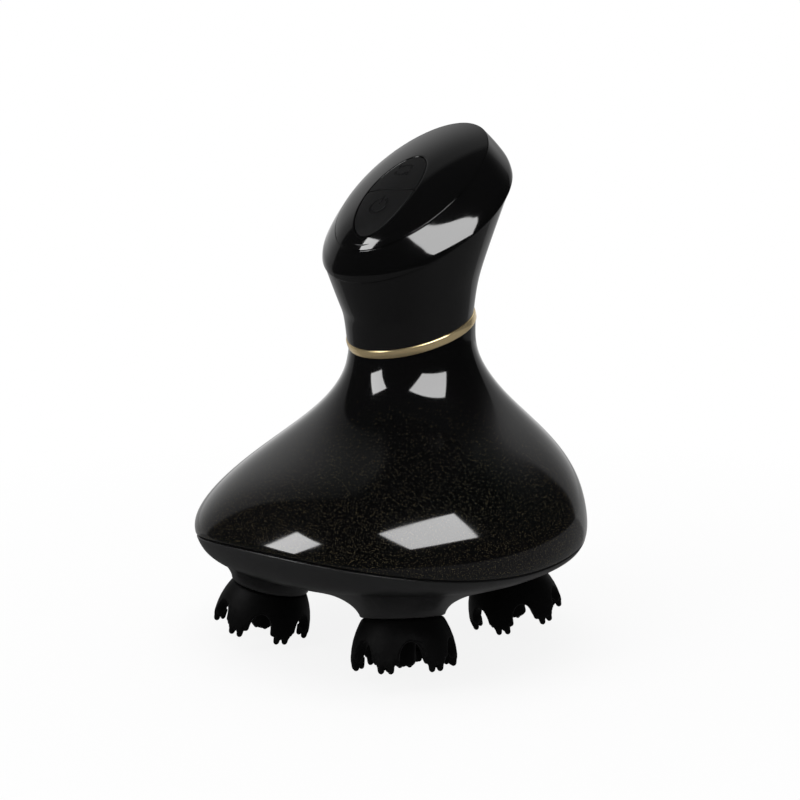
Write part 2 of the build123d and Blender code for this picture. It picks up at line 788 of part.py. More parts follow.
with BuildPart() as drive_bushes:
    for bottom, top in ((drive_bush_z, underside_z + floor_thickness + sun_bush_boss),
                        (plate_z - plate_bush_boss, plate_z + plate_thickness)):
        with BuildSketch(Plane.XY.offset(bottom)):
            Circle(drive_bush_radius)
            Circle(shaft_radius + running_fit, mode=Mode.SUBTRACT)
        extrude(amount=top - bottom)
save(drive_bushes, "drive_bushes")

with BuildPart() as drive_shaft:
    with BuildSketch(Plane.XY.offset(drive_bush_z)):
        Circle(shaft_radius)
    extrude(amount=plate_z + plate_thickness - drive_bush_z)
    chamfer(drive_shaft.edges(), length=shaft_radius / 5)
save(drive_shaft, "drive_shaft")

with BuildPart() as sun_gear:
    for side in (-1, 1):
        height = sun_mid_z + side * face_width / 2
        with BuildSketch(Plane.XY.offset(height)):
            toothed(sun_teeth, sun_pitch_radius, scale=(apex_z - height) / (apex_z - sun_mid_z))
    loft(ruled=True)
    with BuildSketch(Plane.XY.offset(sun_mid_z - face_width / 2)):
        Circle(drive_bush_radius)
    extrude(amount=drive_gear_z - sun_mid_z + face_width / 2)
    with BuildSketch(Plane.XY.offset(sun_mid_z - face_width / 2)):
        Circle(shaft_radius)
    extrude(amount=drive_gear_z, mode=Mode.SUBTRACT)
save(sun_gear, "sun_gear")

with BuildPart() as drive_gear:
    add(spur(drive_teeth, drive_module, drive_gear_z, drive_gear_face))
    with BuildSketch(Plane.XY.offset(drive_gear_z + drive_gear_face / 2)):
        Circle(drive_module * drive_teeth / 2 - 3 * drive_module)
        Circle(2 * shaft_radius, mode=Mode.SUBTRACT)
    extrude(amount=drive_gear_face / 2, mode=Mode.SUBTRACT)
    with BuildSketch(Plane.XY.offset(drive_gear_z)):
        Circle(shaft_radius)
    extrude(amount=drive_gear_face, mode=Mode.SUBTRACT)
save(drive_gear, "drive_gear")

with BuildPart() as reduction_gear:
    add(spur(drive_pinion_teeth, drive_module, drive_gear_z, wheel_z - drive_gear_z, drive_centres,
             turn=180 / drive_pinion_teeth))
    add(spur(wheel_teeth, wheel_module, wheel_z, wheel_face, drive_centres))
    with BuildSketch(Plane(origin=(0, drive_centres, drive_gear_z))):
        Circle(axle_radius + running_fit)
    extrude(amount=wheel_z + wheel_face - drive_gear_z, mode=Mode.SUBTRACT)
save(reduction_gear, "reduction_gear")

with BuildPart() as reduction_axle:
    with BuildSketch(Plane(origin=(0, drive_centres, underside_z + floor_thickness))):
        Circle(axle_radius)
    extrude(amount=plate_z + plate_thickness - underside_z - floor_thickness)
save(reduction_axle, "reduction_axle")

with BuildPart() as motor_pinion:
    add(spur(motor_pinion_teeth, wheel_module, wheel_z, wheel_face, motor_y))
    with BuildSketch(Plane(origin=(0, motor_y, wheel_z))):
        Circle(motor_shaft_radius)
    extrude(amount=wheel_face, mode=Mode.SUBTRACT)
save(motor_pinion, "motor_pinion")

with BuildPart() as motor_shaft:
    with BuildSketch(Plane(origin=(0, motor_y, wheel_z))):
        Circle(motor_shaft_radius)
    extrude(amount=motor_z - motor_boss + motor_length / 3 - slip_fit - wheel_z)
save(motor_shaft, "motor_shaft")

with BuildPart() as charge_contacts:
    with BuildSketch(Plane.XY.offset(underside_z)):
        with Locations((-contact_pitch / 2, 0), (contact_pitch / 2, 0)):
            Circle(contact_radius)
    extrude(amount=contact_head)
    with BuildSketch(Plane.XY.offset(underside_z + contact_head)):
        with Locations((-contact_pitch / 2, 0), (contact_pitch / 2, 0)):
            Circle(contact_shank)
    extrude(amount=floor_thickness)
save(charge_contacts, "charge_contacts")

with BuildPart() as cover_screws:
    with BuildSketch(Plane.XY.offset(underside_z + screw_recess)):
        with Locations(*screw_places):
            Circle(screw_head_radius)
    extrude(amount=screw_head - screw_recess)
    with BuildSketch(Plane.XY.offset(underside_z + screw_head)):
        with Locations(*screw_places):
            Circle(screw_radius)
    extrude(amount=screw_seat_z - underside_z - screw_head + screw_grip - slip_fit)
save(cover_screws, "cover_screws")

with BuildPart() as plate_screws:
    with BuildSketch(Plane.XY.offset(plate_z + plate_thickness)):
        with Locations(*pillar_places):
            Circle(2 * plate_screw_radius)
    extrude(amount=plate_screw_radius)
    with BuildSketch(Plane.XY.offset(plate_z - pillar_pilot + slip_fit)):
        with Locations(*pillar_places):
            Circle(plate_screw_radius)
    extrude(amount=pillar_pilot - slip_fit + plate_thickness)
save(plate_screws, "plate_screws")

# ---------------------------------------------------------------- one head, modelled upright
with BuildPart() as nodule:
    with BuildSketch(Plane.XZ):
        with BuildLine():
            Polyline((0, 0), (nodule_end_radius, 0), (nodule_radius, nodule_radius - nodule_end_radius + 0.1),
                     (nodule_radius, nodule_length), (0, nodule_length), close=True)
        make_face()
    revolve(axis=Axis.Z)

with BuildPart() as finger_gap:
    with BuildSketch(Plane.YZ.offset(claw_mouth_radius - 1.4 * claw_wall)):
        with BuildLine():
            Polyline((-gap_top_width / 2, gap_top - gap_top_width / 2), (-gap_foot_width / 2, -finger_end),
                     (gap_foot_width / 2, -finger_end), (gap_top_width / 2, gap_top - gap_top_width / 2))
            ThreePointArc((gap_top_width / 2, gap_top - gap_top_width / 2), (0, gap_top),
                          (-gap_top_width / 2, gap_top - gap_top_width / 2))
        make_face()
    extrude(amount=2 * claw_wall)

mouth_inside = claw_mouth_radius - claw_wall
with BuildPart() as claw_form:
    with BuildSketch(Plane.XZ):
        with BuildLine():
            Spline((claw_top_radius, claw_top), (claw_top_radius + 2.0, claw_top - 1.7),
                   (claw_mouth_radius, claw_mouth_height), tangents=((1, -0.35), (0, -1)))
            Polyline((claw_mouth_radius, claw_mouth_height), (claw_mouth_radius - 0.15, finger_end),
                     (mouth_inside - 0.1, finger_end), (mouth_inside, claw_mouth_height),
                     (mouth_inside - 1.3, claw_roof - 0.5), (mouth_inside - 2.6, claw_roof),
                     (centre_finger_root, claw_roof), (centre_finger_radius, finger_end - centre_finger_drop),
                     (0, finger_end - centre_finger_drop), (0, hub_socket), (hub_socket_radius, hub_socket),
                     (hub_socket_radius, claw_top), (claw_top_radius, claw_top))
        make_face()
    revolve(axis=Axis.Z)
    with PolarLocations(0, finger_count, start_angle=finger_pitch / 2):
        add(finger_gap.part, mode=Mode.SUBTRACT)
    for k in range(finger_count):
        with Locations(Location((0, 0, 0), (0, 0, k * finger_pitch))):
            with Locations((nodule_ring, -nodule_spread, 0), (nodule_ring, nodule_spread, 0),
                           (nodule_inner_ring, 0, nodule_inner_lift)):
                add(nodule.part)
    with PolarLocations(centre_nodule_ring, 3, start_angle=30):
        with Locations((0, 0, -centre_finger_drop)):
            add(nodule.part)

with BuildPart() as hub_form:
    with BuildSketch(Plane.XZ):
        with BuildLine():
            Polyline((0, hub_socket), (hub_socket_radius, hub_socket), (hub_socket_radius, hub_flange_bottom),
                     (hub_flange_radius, hub_flange_bottom), (hub_flange_radius, hub_flange_top),
                     (hub_stub_radius, hub_flange_top), (hub_stub_radius, hub_stub_top),
                     (spindle_radius, hub_stub_top), (spindle_radius, spindle_bottom), (0, spindle_bottom),
                     close=True)
        make_face()
    revolve(axis=Axis.Z)

with BuildPart() as seal_form:
    with BuildSketch(Plane.XY.offset(seal_bottom)):
        Circle(seal_radius)
        Circle(hub_stub_radius + running_fit, mode=Mode.SUBTRACT)
    extrude(amount=seal_top - seal_bottom)

with BuildPart() as bush_form:
    with BuildSketch(Plane.XY.offset(bush_bottom)):
        Circle(bush_radius)
    extrude(amount=bush_top - bush_bottom)
    with BuildSketch(Plane.XY.offset(bush_top - bush_flange)):
        Circle(bush_flange_radius)
    extrude(amount=bush_flange)
    with BuildSketch(Plane.XY.offset(bush_bottom)):
        Circle(spindle_radius + running_fit)
    extrude(amount=bush_top - bush_bottom, mode=Mode.SUBTRACT)

with BuildPart() as spindle_form:
    with BuildSketch(Plane.XY.offset(spindle_bottom)):
        Circle(spindle_radius)
    extrude(amount=spindle_top - spindle_bottom)
    chamfer(spindle_form.edges().group_by(Axis.Z)[-1], length=spindle_radius / 5)

head_apex = axis_length
with BuildPart() as head_gear_form:
    for side in (-1, 1):
        height = head_gear_mid + side * face_width / 2
        with BuildSketch(Plane.XY.offset(height)):
            toothed(head_gear_teeth, head_pitch_radius, scale=(head_apex - height) / (head_apex - head_gear_mid))
    loft(ruled=True)
    with BuildSketch(Plane.XY.offset(head_gear_mid + face_width / 2 - gear_web)):
        Circle(head_pitch_radius - 2.2 * bevel_module)
        Circle(2 * spindle_radius, mode=Mode.SUBTRACT)
    extrude(amount=gear_web, mode=Mode.SUBTRACT)
    with BuildSketch(Plane.XY.offset(head_gear_mid - face_width / 2)):
        Circle(spindle_radius)
    extrude(amount=face_width, mode=Mode.SUBTRACT)

for index, name in enumerate(head_names):
    place = head_plane(index).location
    pieces = (("claw", claw_form.part, head_turns[index]), ("claw_hub", hub_form.part, 0),
              ("shaft_seal", seal_form.part, 0), ("spindle_bush", bush_form.part, 0),
              ("spindle", spindle_form.part, 0), ("head_gear", head_gear_form.part, 0))
    for kind, form, turn in pieces:
        with BuildPart() as piece:
            with Locations(place * Location((0, 0, 0), (0, 0, turn))):
                add(form)
        save(piece, f"{kind}_{name}")
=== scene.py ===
# %% [markdown]
# # Dressing an electric scalp massager
# The object is a hand-held massager: a bell-shaped base that stands on four turning rubber claws, a neck
# that leans towards the user with a thin gold ring round its waist, and a pebble-shaped head with two keys.
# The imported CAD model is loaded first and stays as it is. It says where every part and every axis is.
# Each visible outer part then gets a smooth skin of its own that stands in the same place as its CAD part.

# %% Load the frame
import json
from math import cos, pi, radians, sin, sqrt

import bmesh
import bpy
import numpy as np
from mathutils import Matrix, Vector


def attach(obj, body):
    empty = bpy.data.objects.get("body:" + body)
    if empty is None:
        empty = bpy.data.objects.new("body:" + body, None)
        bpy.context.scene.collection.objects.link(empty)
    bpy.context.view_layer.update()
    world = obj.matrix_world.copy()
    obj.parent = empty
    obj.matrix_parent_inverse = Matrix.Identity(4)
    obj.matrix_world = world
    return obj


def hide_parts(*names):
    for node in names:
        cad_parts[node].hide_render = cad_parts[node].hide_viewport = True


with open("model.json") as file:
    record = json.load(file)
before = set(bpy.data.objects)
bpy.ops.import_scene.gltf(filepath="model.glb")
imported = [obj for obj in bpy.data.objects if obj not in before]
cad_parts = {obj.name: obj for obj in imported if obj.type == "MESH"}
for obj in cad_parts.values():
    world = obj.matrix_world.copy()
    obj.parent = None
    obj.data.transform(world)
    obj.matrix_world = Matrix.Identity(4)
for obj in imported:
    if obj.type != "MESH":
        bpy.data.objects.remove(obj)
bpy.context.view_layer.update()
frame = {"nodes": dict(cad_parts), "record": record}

nodes = frame["nodes"]

# %% [markdown]
# ## The sizes that the skins share with the CAD model
# A moulded housing is drawn as cross-sections: ovals that shrink, lean and tilt on their way up. One could
# trace the CAD mesh instead, but its triangles are uneven and show in a mirror-like lacquer. Repeating the
# few numbers of each oval gives a perfectly even surface that still lies where the CAD part lies.
# All lengths below are in millimetres; a mesh is scaled to metres only when it is made.

# %% Sections of the housing
MM = 0.001
COLUMNS = 256
BASE_WIDTH, BASE_DEPTH, BASE_SQUARENESS = 52.0, 47.6, 2.15
UNDERSIDE_Z, SKIRT_HEIGHT, SKIRT_INSET, SHOULDER_Z = 21.0, 8.0, 11.0, 34.9
RIM_CROWN_Z, RIM_SIDE_DIP, RIM_TILT = 34.4, 7.5, 2.5
WAIST_Z, WAIST_LEAN, WAIST_TILT, WAIST_WIDTH, WAIST_DEPTH = 82.3, 10.0, 23.0, 18.0, 16.9
RING_HEIGHT, RING_PROUD, RING_WALL = 2.3, 0.3, 1.5
CAP_Z, CAP_LEAN, CAP_TILT, CAP_WIDTH, CAP_DEPTH = 120.1, 10.9, 40.0, 19.9, 27.6
CAP_RISE, CAP_FORWARD, CAP_CROWN = 4.6, 6.1, 0.9
SHELL_WALL, HEAD_WALL, SEAL = 2.2, 2.0, 0.5
EDGE = 0.3


def section(lean, z, tilt, width, depth, squareness=2.0):
    """One oval of the housing: where its centre is, how it tilts, and its half sizes."""
    return lean, z, tilt, width, depth, squareness


def moved_along(part, distance):
    """The same oval pushed along its own normal."""
    lean, z, tilt, width, depth, squareness = part
    t = radians(tilt)
    return lean - distance * sin(t), z + distance * cos(t), tilt, width, depth, squareness


waist = section(WAIST_LEAN, WAIST_Z, WAIST_TILT, WAIST_WIDTH, WAIST_DEPTH)
ring_foot = moved_along(waist, -RING_HEIGHT / 2)
ring_head = moved_along(waist, RING_HEIGHT / 2)
cap_line = section(CAP_LEAN, CAP_Z, CAP_TILT, CAP_WIDTH, CAP_DEPTH)


def skirt_section(height):
    """An oval of the turned-under skirt, this high above the underside."""
    curl = SKIRT_INSET * max(0.0, 1 - height / SKIRT_HEIGHT) ** 2
    return section(0.0, UNDERSIDE_Z + height, 0.0, BASE_WIDTH - curl, BASE_DEPTH - curl, BASE_SQUARENESS)


def bell_section(height, width, depth, lean, tilt):
    """An oval of the bell, all five given as fractions from the shoulder to the waist."""
    return section(ring_foot[0] * lean, SHOULDER_Z + (ring_foot[1] - SHOULDER_Z) * height,
                   RIM_TILT + (WAIST_TILT - RIM_TILT) * tilt,
                   WAIST_WIDTH + (BASE_WIDTH - WAIST_WIDTH) * width,
                   WAIST_DEPTH + (BASE_DEPTH - WAIST_DEPTH) * depth, 2 + (BASE_SQUARENESS - 2) * width)


skirt = [skirt_section(h) for h in (0.0, 2.2, 5.0, SKIRT_HEIGHT)]
bell = [bell_section(0.0, 1.0, 1.0, 0.0, 0.0), bell_section(0.22, 0.82, 0.87, 0.28, 0.12),
        bell_section(0.47, 0.44, 0.47, 0.58, 0.32), bell_section(0.67, 0.153, 0.16, 0.81, 0.54),
        bell_section(0.86, 0.015, 0.016, 0.92, 0.80), ring_foot]
neck = [ring_head, section(10.0, 91.8, 29.5, 19.6, 18.6), section(10.8, 97.2, 34.5, 21.2, 21.6),
        section(12.6, 112.4, 38.2, 26.6, 29.2)]
band = [section(12.6, 112.4, 38.2, 26.85, 29.45), section(12.3, 113.9, 38.6, 26.25, 29.5),
        section(11.9, 115.6, 39.1, 24.85, 29.2), section(11.5, 117.25, 39.5, 23.2, 28.7), cap_line]
print("Sections: skirt", len(skirt), "bell", len(bell), "neck", len(neck), "band", len(band))

# %% [markdown]
# ## A surface through ovals
# To Blender a loft is only a grid of points: columns run up the body and rows run round it. A natural cubic
# spline through each column keeps the curvature even, which matters more than anything else on black gloss,
# because every flat spot would bend a reflection. The spline is solved once for all columns with numpy.

# %% Spline skins
HALVINGS = 30


def oval_points(part, columns=COLUMNS, inset=0.0):
    """The points of one oval, starting at its front and going round."""
    lean, z, tilt, width, depth, squareness = part
    angle = 2 * pi * np.arange(columns) / columns
    c, s = np.cos(angle), np.sin(angle)
    reach = (np.abs(c) ** squareness + np.abs(s) ** squareness) ** (-1 / squareness)
    x, along = (width - inset) * reach * s, -(depth - inset) * reach * c
    t = radians(tilt)
    return np.stack([x, lean + along * cos(t), z + along * sin(t)], 1)


def spline_skin(rings):
    """A function that gives the skin's points at heights u, from 0 at the first ring to 1 at the last."""
    rings = np.asarray(rings)
    gaps = np.linalg.norm(np.diff(rings, axis=0), axis=2).mean(1)
    knots = np.concatenate([[0], np.cumsum(gaps)]) / gaps.sum()
    h, n = np.diff(knots), len(knots)
    matrix, right = np.eye(n), np.zeros_like(rings)
    for k in range(1, n - 1):
        matrix[k, k - 1:k + 2] = h[k - 1], 2 * (h[k - 1] + h[k]), h[k]
        right[k] = 6 * ((rings[k + 1] - rings[k]) / h[k] - (rings[k] - rings[k - 1]) / h[k - 1])
    bend = np.linalg.solve(matrix, right.reshape(n, -1)).reshape(rings.shape)
    column = np.arange(rings.shape[1])

    def at(u):
        u = np.broadcast_to(np.asarray(u, float), (rings.shape[1],)) if np.ndim(u) < 2 else np.asarray(u)
        u = np.atleast_2d(u)
        k = np.clip(np.searchsorted(knots, u, side="right") - 1, 0, n - 2)
        step = h[k][..., None]
        low = (knots[k + 1] - u)[..., None] / step
        high = 1 - low
        straight = low * rings[k, column] + high * rings[k + 1, column]
        bent = (low ** 3 - low) * bend[k, column] + (high ** 3 - high) * bend[k + 1, column]
        return straight + bent * step ** 2 / 6
    return at


def height_where(at, above, columns=COLUMNS):
    """For each column, the height u where the skin crosses a surface. above() tells a point's side of it."""
    coarse = np.linspace(0, 1, 80)
    points = at(np.repeat(coarse[:, None], columns, 1))
    first = above(points).argmax(0)
    low, high = coarse[np.maximum(first - 1, 0)], coarse[first]
    for _ in range(HALVINGS):
        middle = (low + high) / 2
        up = above(at(middle)[0])
        low, high = np.where(up, low, middle), np.where(up, middle, high)
    return high


def unit(v):
    """Vectors scaled to length 1."""
    return v / np.maximum(np.linalg.norm(v, axis=-1, keepdims=True), 1e-12)


def rolled_edge(at, u_edge, direction, radius=EDGE, steps=5):
    """Rows of a rounded edge: the skin stops a radius short of the edge and turns inwards.

    direction is -1 where the skin runs down to the edge and +1 where it runs up to it.
    Returns the height where the skin must stop, the rows of the roll, and the inward normal.
    """
    nudge = 1e-4
    here = at(u_edge)[0]
    before, after = np.clip(u_edge - nudge, 0, 1), np.clip(u_edge + nudge, 0, 1)
    speed = np.linalg.norm(at(after)[0] - at(before)[0], axis=1) / (after - before)
    u_stop = u_edge - direction * radius / speed
    stop = at(u_stop)[0]
    onward = unit(here - stop)
    around = unit(np.roll(stop, -1, 0) - np.roll(stop, 1, 0))
    normal = unit(np.cross(onward, around))
    centre = stop.mean(0)
    normal *= np.sign(((centre - stop) * normal).sum(1))[:, None]
    rows = [stop + normal * radius * (1 - cos(a)) + onward * radius * sin(a)
            for a in np.linspace(0, pi / 2, steps + 1)[1:]]
    return u_stop, rows, normal


def between(at, low, high, count):
    """Rows of the skin from height low to height high, both included."""
    share = np.linspace(0, 1, count)[:, None]
    low, high = np.broadcast_to(low, (COLUMNS,)), np.broadcast_to(high, (COLUMNS,))
    return list(at(low + (high - low) * share))


print("Spline skins ready:", COLUMNS, "columns round each part")

# %% [markdown]
# ## From rows to a mesh
# Most parts are closed loops of rows: up the outside, over the top edge, down the inside and back to the
# start. Joining the last row to the first makes a watertight wall with a real thickness, as a moulding has.

# %% Mesh makers
SHARP_DEGREES = 40


def mesh_piece(name, points, faces):
    """A smooth-shaded object from points in millimetres."""
    mesh = bpy.data.meshes.new(name)
    mesh.from_pydata((np.asarray(points) * MM).tolist(), [], faces)
    mesh.validate()
    form = bmesh.new()
    form.from_mesh(mesh)
    bmesh.ops.recalc_face_normals(form, faces=form.faces)
    form.to_mesh(mesh)
    form.free()
    mesh.shade_smooth()
    mesh.set_sharp_from_angle(angle=radians(SHARP_DEGREES))
    piece = bpy.data.objects.new(name, mesh)
    bpy.context.scene.collection.objects.link(piece)
    return piece


def grid_faces(rows, columns, closed_rows=False, offset=0):
    """The four-sided faces of a grid whose columns close on themselves."""
    last = rows if closed_rows else rows - 1
    faces = []
    for r in range(last):
        a, b = offset + r * columns, offset + (r + 1) % rows * columns
        for c in range(columns):
            d = (c + 1) % columns
            faces.append((a + c, a + d, b + d, b + c))
    return faces


def wall_piece(name, rows):
    """A watertight wall: rows go round the wall's whole section and meet again."""
    points = np.concatenate(rows)
    return mesh_piece(name, points, grid_faces(len(rows), len(rows[0]), closed_rows=True))


def capped_piece(name, rows):
    """A closed form: rows run from one pole to the other, each pole being one point."""
    middle = rows[1:-1]
    columns = len(middle[0])
    points = np.concatenate([rows[0][None], *middle, rows[-1][None]])
    faces = grid_faces(len(middle), columns, offset=1)
    end, last = len(points) - 1, 1 + (len(middle) - 1) * columns
    for c in range(columns):
        d = (c + 1) % columns
        faces += [(0, 1 + d, 1 + c), (end, last + c, last + d)]
    return mesh_piece(name, points, faces)


def stands_for(piece, body, slot, *cad_nodes):
    """The piece rides on its body and stands for its CAD nodes; the slot is not used."""
    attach(piece, body)
    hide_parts(*cad_nodes)
    size = [round(v * 1000, 1) for v in piece.dimensions]
    print(f"{piece.name}: {len(piece.data.polygons)} faces, {size} mm, for {', '.join(cad_nodes)}")


# %% [markdown]
# ## Upper shell of the base
# The upper housing ends below in a parting line that arches over the front and back and dips at the sides.
# Each column of the bell is cut where it meets that arched surface, then turned in with a small radius, as
# every moulded edge is. Above, the wall steps in under the gold ring.

# %% Bell-shaped shell
RING_PLAY, SPIGOT_REACH, SPIGOT_WALL = 0.1, 2.0, 1.6
RIM_FLAT, RIM_STEP, INNER_TOP = 1.4, 1.2, 0.97


def rim_level(points, lift=0.0):
    """True for points above the arched parting surface, raised by this much."""
    x, y, z = points[..., 0], points[..., 1], points[..., 2]
    t = radians(RIM_TILT)
    return -y * sin(t) + z * cos(t) > RIM_CROWN_Z + lift - RIM_SIDE_DIP * (x / BASE_WIDTH) ** 2


def inset_sections(parts, wall):
    """The same ovals moved in by a wall that keeps its thickness where the flank leans."""
    inner = []
    for k, (lean, z, tilt, width, depth, squareness) in enumerate(parts):
        before, after = parts[max(k - 1, 0)], parts[min(k + 1, len(parts) - 1)]
        slope = sqrt(1 + ((after[3] - before[3]) / (after[1] - before[1])) ** 2)
        inner.append((lean, z, tilt, width - wall * slope, depth - wall * slope, squareness))
    return inner


body_skin = spline_skin([oval_points(s) for s in skirt + bell])
shell_foot = height_where(body_skin, lambda p: rim_level(p, SEAL / 2))
start, rim_roll, rim_normal = rolled_edge(body_skin, shell_foot, -1)
step_in = section(*ring_foot[:3], WAIST_WIDTH - RING_WALL - RING_PLAY, WAIST_DEPTH - RING_WALL - RING_PLAY)
spigot_top = moved_along(step_in, RING_HEIGHT + SPIGOT_REACH)

inner_skin = spline_skin([oval_points(s) for s in inset_sections(bell, SHELL_WALL)])
inside_foot = height_where(inner_skin, lambda p: rim_level(p, SEAL / 2 + RIM_STEP))
outer_rows = between(body_skin, start, 1.0, 110)
inner_rows = between(inner_skin, inside_foot, INNER_TOP, 30)
spigot_rows = [oval_points(step_in), oval_points(spigot_top), oval_points(spigot_top, inset=SPIGOT_WALL),
               oval_points(step_in, inset=SPIGOT_WALL)]
foot_rows = [rim_roll[-1] + rim_normal * RIM_FLAT]
shell = wall_piece("shell_skin", foot_rows + rim_roll[::-1] + outer_rows + spigot_rows + inner_rows[::-1])
stands_for(shell, "housing", "shell_gloss", "base_shell")

# %% [markdown]
# ## Bottom cover with its four pods
# The satin cover closes the base from below. It curls in under the object and flares down into four pods,
# and a turning claw hangs from each. A boolean union would leave a hard seam round every pod. Here the flare
# is drawn instead, as a curve that leaves the pod's collar and arrives lying flat on the underside. The flat
# underside comes first. A small rounding eases the curled skirt into it, so that no crease shows.

# %% Underside and skirt
FILLET, FLOOR_WALL, COVER_LEDGE = 0.5, 2.2, 3.2
INSIDE_OVALS = ((25.2, 6.5), (23.2, 14))


def soft_floor(rise):
    """The skirt's height above the underside, eased where it runs out into the flat."""
    return UNDERSIDE_Z + (rise + np.sqrt(rise ** 2 + FILLET ** 2)) / 2


def base_inset(x, y):
    """How far inside the base's outline a place is."""
    low, high = np.zeros_like(x), np.full_like(x, BASE_DEPTH - 0.5)
    for _ in range(HALVINGS):
        middle = (low + high) / 2
        inside = (np.abs(x) / (BASE_WIDTH - middle)) ** BASE_SQUARENESS \
            + (np.abs(y) / (BASE_DEPTH - middle)) ** BASE_SQUARENESS < 1
        low, high = np.where(inside, middle, low), np.where(inside, high, middle)
    return low


def base_height(x, y):
    """Height of the eased underside over a place."""
    return soft_floor(SKIRT_HEIGHT * (1 - np.sqrt(base_inset(x, y) / SKIRT_INSET)))


def base_oval(z, inset):
    """The base's outline at one height, moved in by an inset."""
    return oval_points(section(0, z, 0, BASE_WIDTH, BASE_DEPTH, BASE_SQUARENESS), inset=inset)


cover_head = height_where(body_skin, lambda p: rim_level(p, -SEAL / 2))
stop, cover_roll, cover_normal = rolled_edge(body_skin, cover_head, 1)
skirt_rows = between(body_skin, stop, 0.0, 40)
for row in skirt_rows:
    low = row[:, 2] < UNDERSIDE_Z + SKIRT_HEIGHT
    row[low, 2] = soft_floor(row[low, 2] - UNDERSIDE_Z)
floor_rows = []
for inset in np.concatenate([np.linspace(11.6, 20, 12), np.linspace(22, 44, 8)]):
    row = base_oval(0, inset)
    row[:, 2] = soft_floor(SKIRT_HEIGHT * (1 - sqrt(inset / SKIRT_INSET)))
    floor_rows.append(row)
under_pole, inner_pole = np.array([0, 0, UNDERSIDE_Z]), np.array([0, 0, UNDERSIDE_Z + FLOOR_WALL])
inside_rows = [cover_roll[-1] + cover_normal * COVER_LEDGE]
inside_rows += [base_oval(z, inset) for z, inset in INSIDE_OVALS]
cover = capped_piece("cover_skin", [inner_pole] + inside_rows[::-1] + cover_roll[::-1] + skirt_rows
                     + floor_rows + [under_pole])
print("Cover skin:", len(cover.data.polygons), "faces")

# %% [markdown]
# ## Recesses in the underside
# Three screws hold the cover and two small contacts charge the battery, and all of them sit in the flat
# underside. Their round recesses are crisp and lie on a flat face, which suits a boolean cut. Each peg is a
# closed form that reaches through the floor, and it is removed once it has cut its hole.

# %% Recesses for the screws and the charging contacts
SCREW_PLACES, SCREW_RECESS = [(-37.6, 0.0), (37.6, 0.0), (0.0, -35.0)], 2.98
CONTACT_PLACES, CONTACT_RECESS = [(-7.0, 0.0), (7.0, 0.0)], 1.66
PEG_ENDS, PEG_SIDES = (-2.0, 3.0), 64


def bored(piece, places, radius):
    """Cuts round holes straight up through the floor of a piece."""
    turn = 2 * pi * np.arange(PEG_SIDES) / PEG_SIDES
    for x, y in places:
        edge = np.stack([x + radius * np.cos(turn), y + radius * np.sin(turn)], 1)
        low, high = (np.column_stack([edge, np.full(PEG_SIDES, UNDERSIDE_Z + lift)]) for lift in PEG_ENDS)
        peg = capped_piece("peg", [low.mean(0), low, high, high.mean(0)])
        bore = piece.modifiers.new("bore", "BOOLEAN")
        bore.operation, bore.solver, bore.object = "DIFFERENCE", "EXACT", peg
        mesh = bpy.data.meshes.new_from_object(piece.evaluated_get(bpy.context.evaluated_depsgraph_get()))
        piece.modifiers.clear()
        piece.data = mesh
        bpy.data.objects.remove(peg)


bored(cover, SCREW_PLACES, SCREW_RECESS)
bored(cover, CONTACT_PLACES, CONTACT_RECESS)
print("Cover with its recesses:", len(cover.data.polygons), "faces")

# %% [markdown]
# ## The flared pods
# The four heads are splayed: their axes lean outwards by the same angle, so the claws spread like feet. Each
# pod is a bundle of curves, one for each direction round its axis. A curve starts on the collar, follows the
# leaning axis and lands on the underside at a distance that keeps clear of the base's rim.

# %% Flared pods
HEAD_OFFSET, SPLAY, TIP_LIFT = 24.7, radians(13.7), 2.8886
POD_END, POD_END_RADIUS, POD_FOOT_RADIUS, SEAL_RADIUS, SEAL_TOP = 12.4, 10.4, 19.5, 7.2, 15.2
RIM_MARGIN, MARCH, FLARE_SPREAD, FLARE_PULL = 3.4, 0.5, 0.45, 0.75
POD_EDGE, POCKET_PLAY = 0.5, 0.05
HEADS = {"front_left": (-1, -1), "front_right": (1, -1), "back_right": (1, 1), "back_left": (-1, 1)}


def head_axes(place):
    """Origin of a head's tip plane, with its outward, sideways and upward directions."""
    out = Vector((place[0], place[1], 0)).normalized()
    up = Vector((-out.x * sin(SPLAY), -out.y * sin(SPLAY), cos(SPLAY)))
    outward = out * cos(SPLAY) + Vector((0, 0, sin(SPLAY)))
    origin = Vector((place[0] * HEAD_OFFSET, place[1] * HEAD_OFFSET, TIP_LIFT))
    return [np.array(v) for v in (origin, outward, up.cross(outward), up)]


def soft_minimum(a, b, softness=1.5):
    """The smaller of two values, with the corner between them rounded off."""
    return (a + b - np.sqrt((a - b) ** 2 + softness ** 2)) / 2


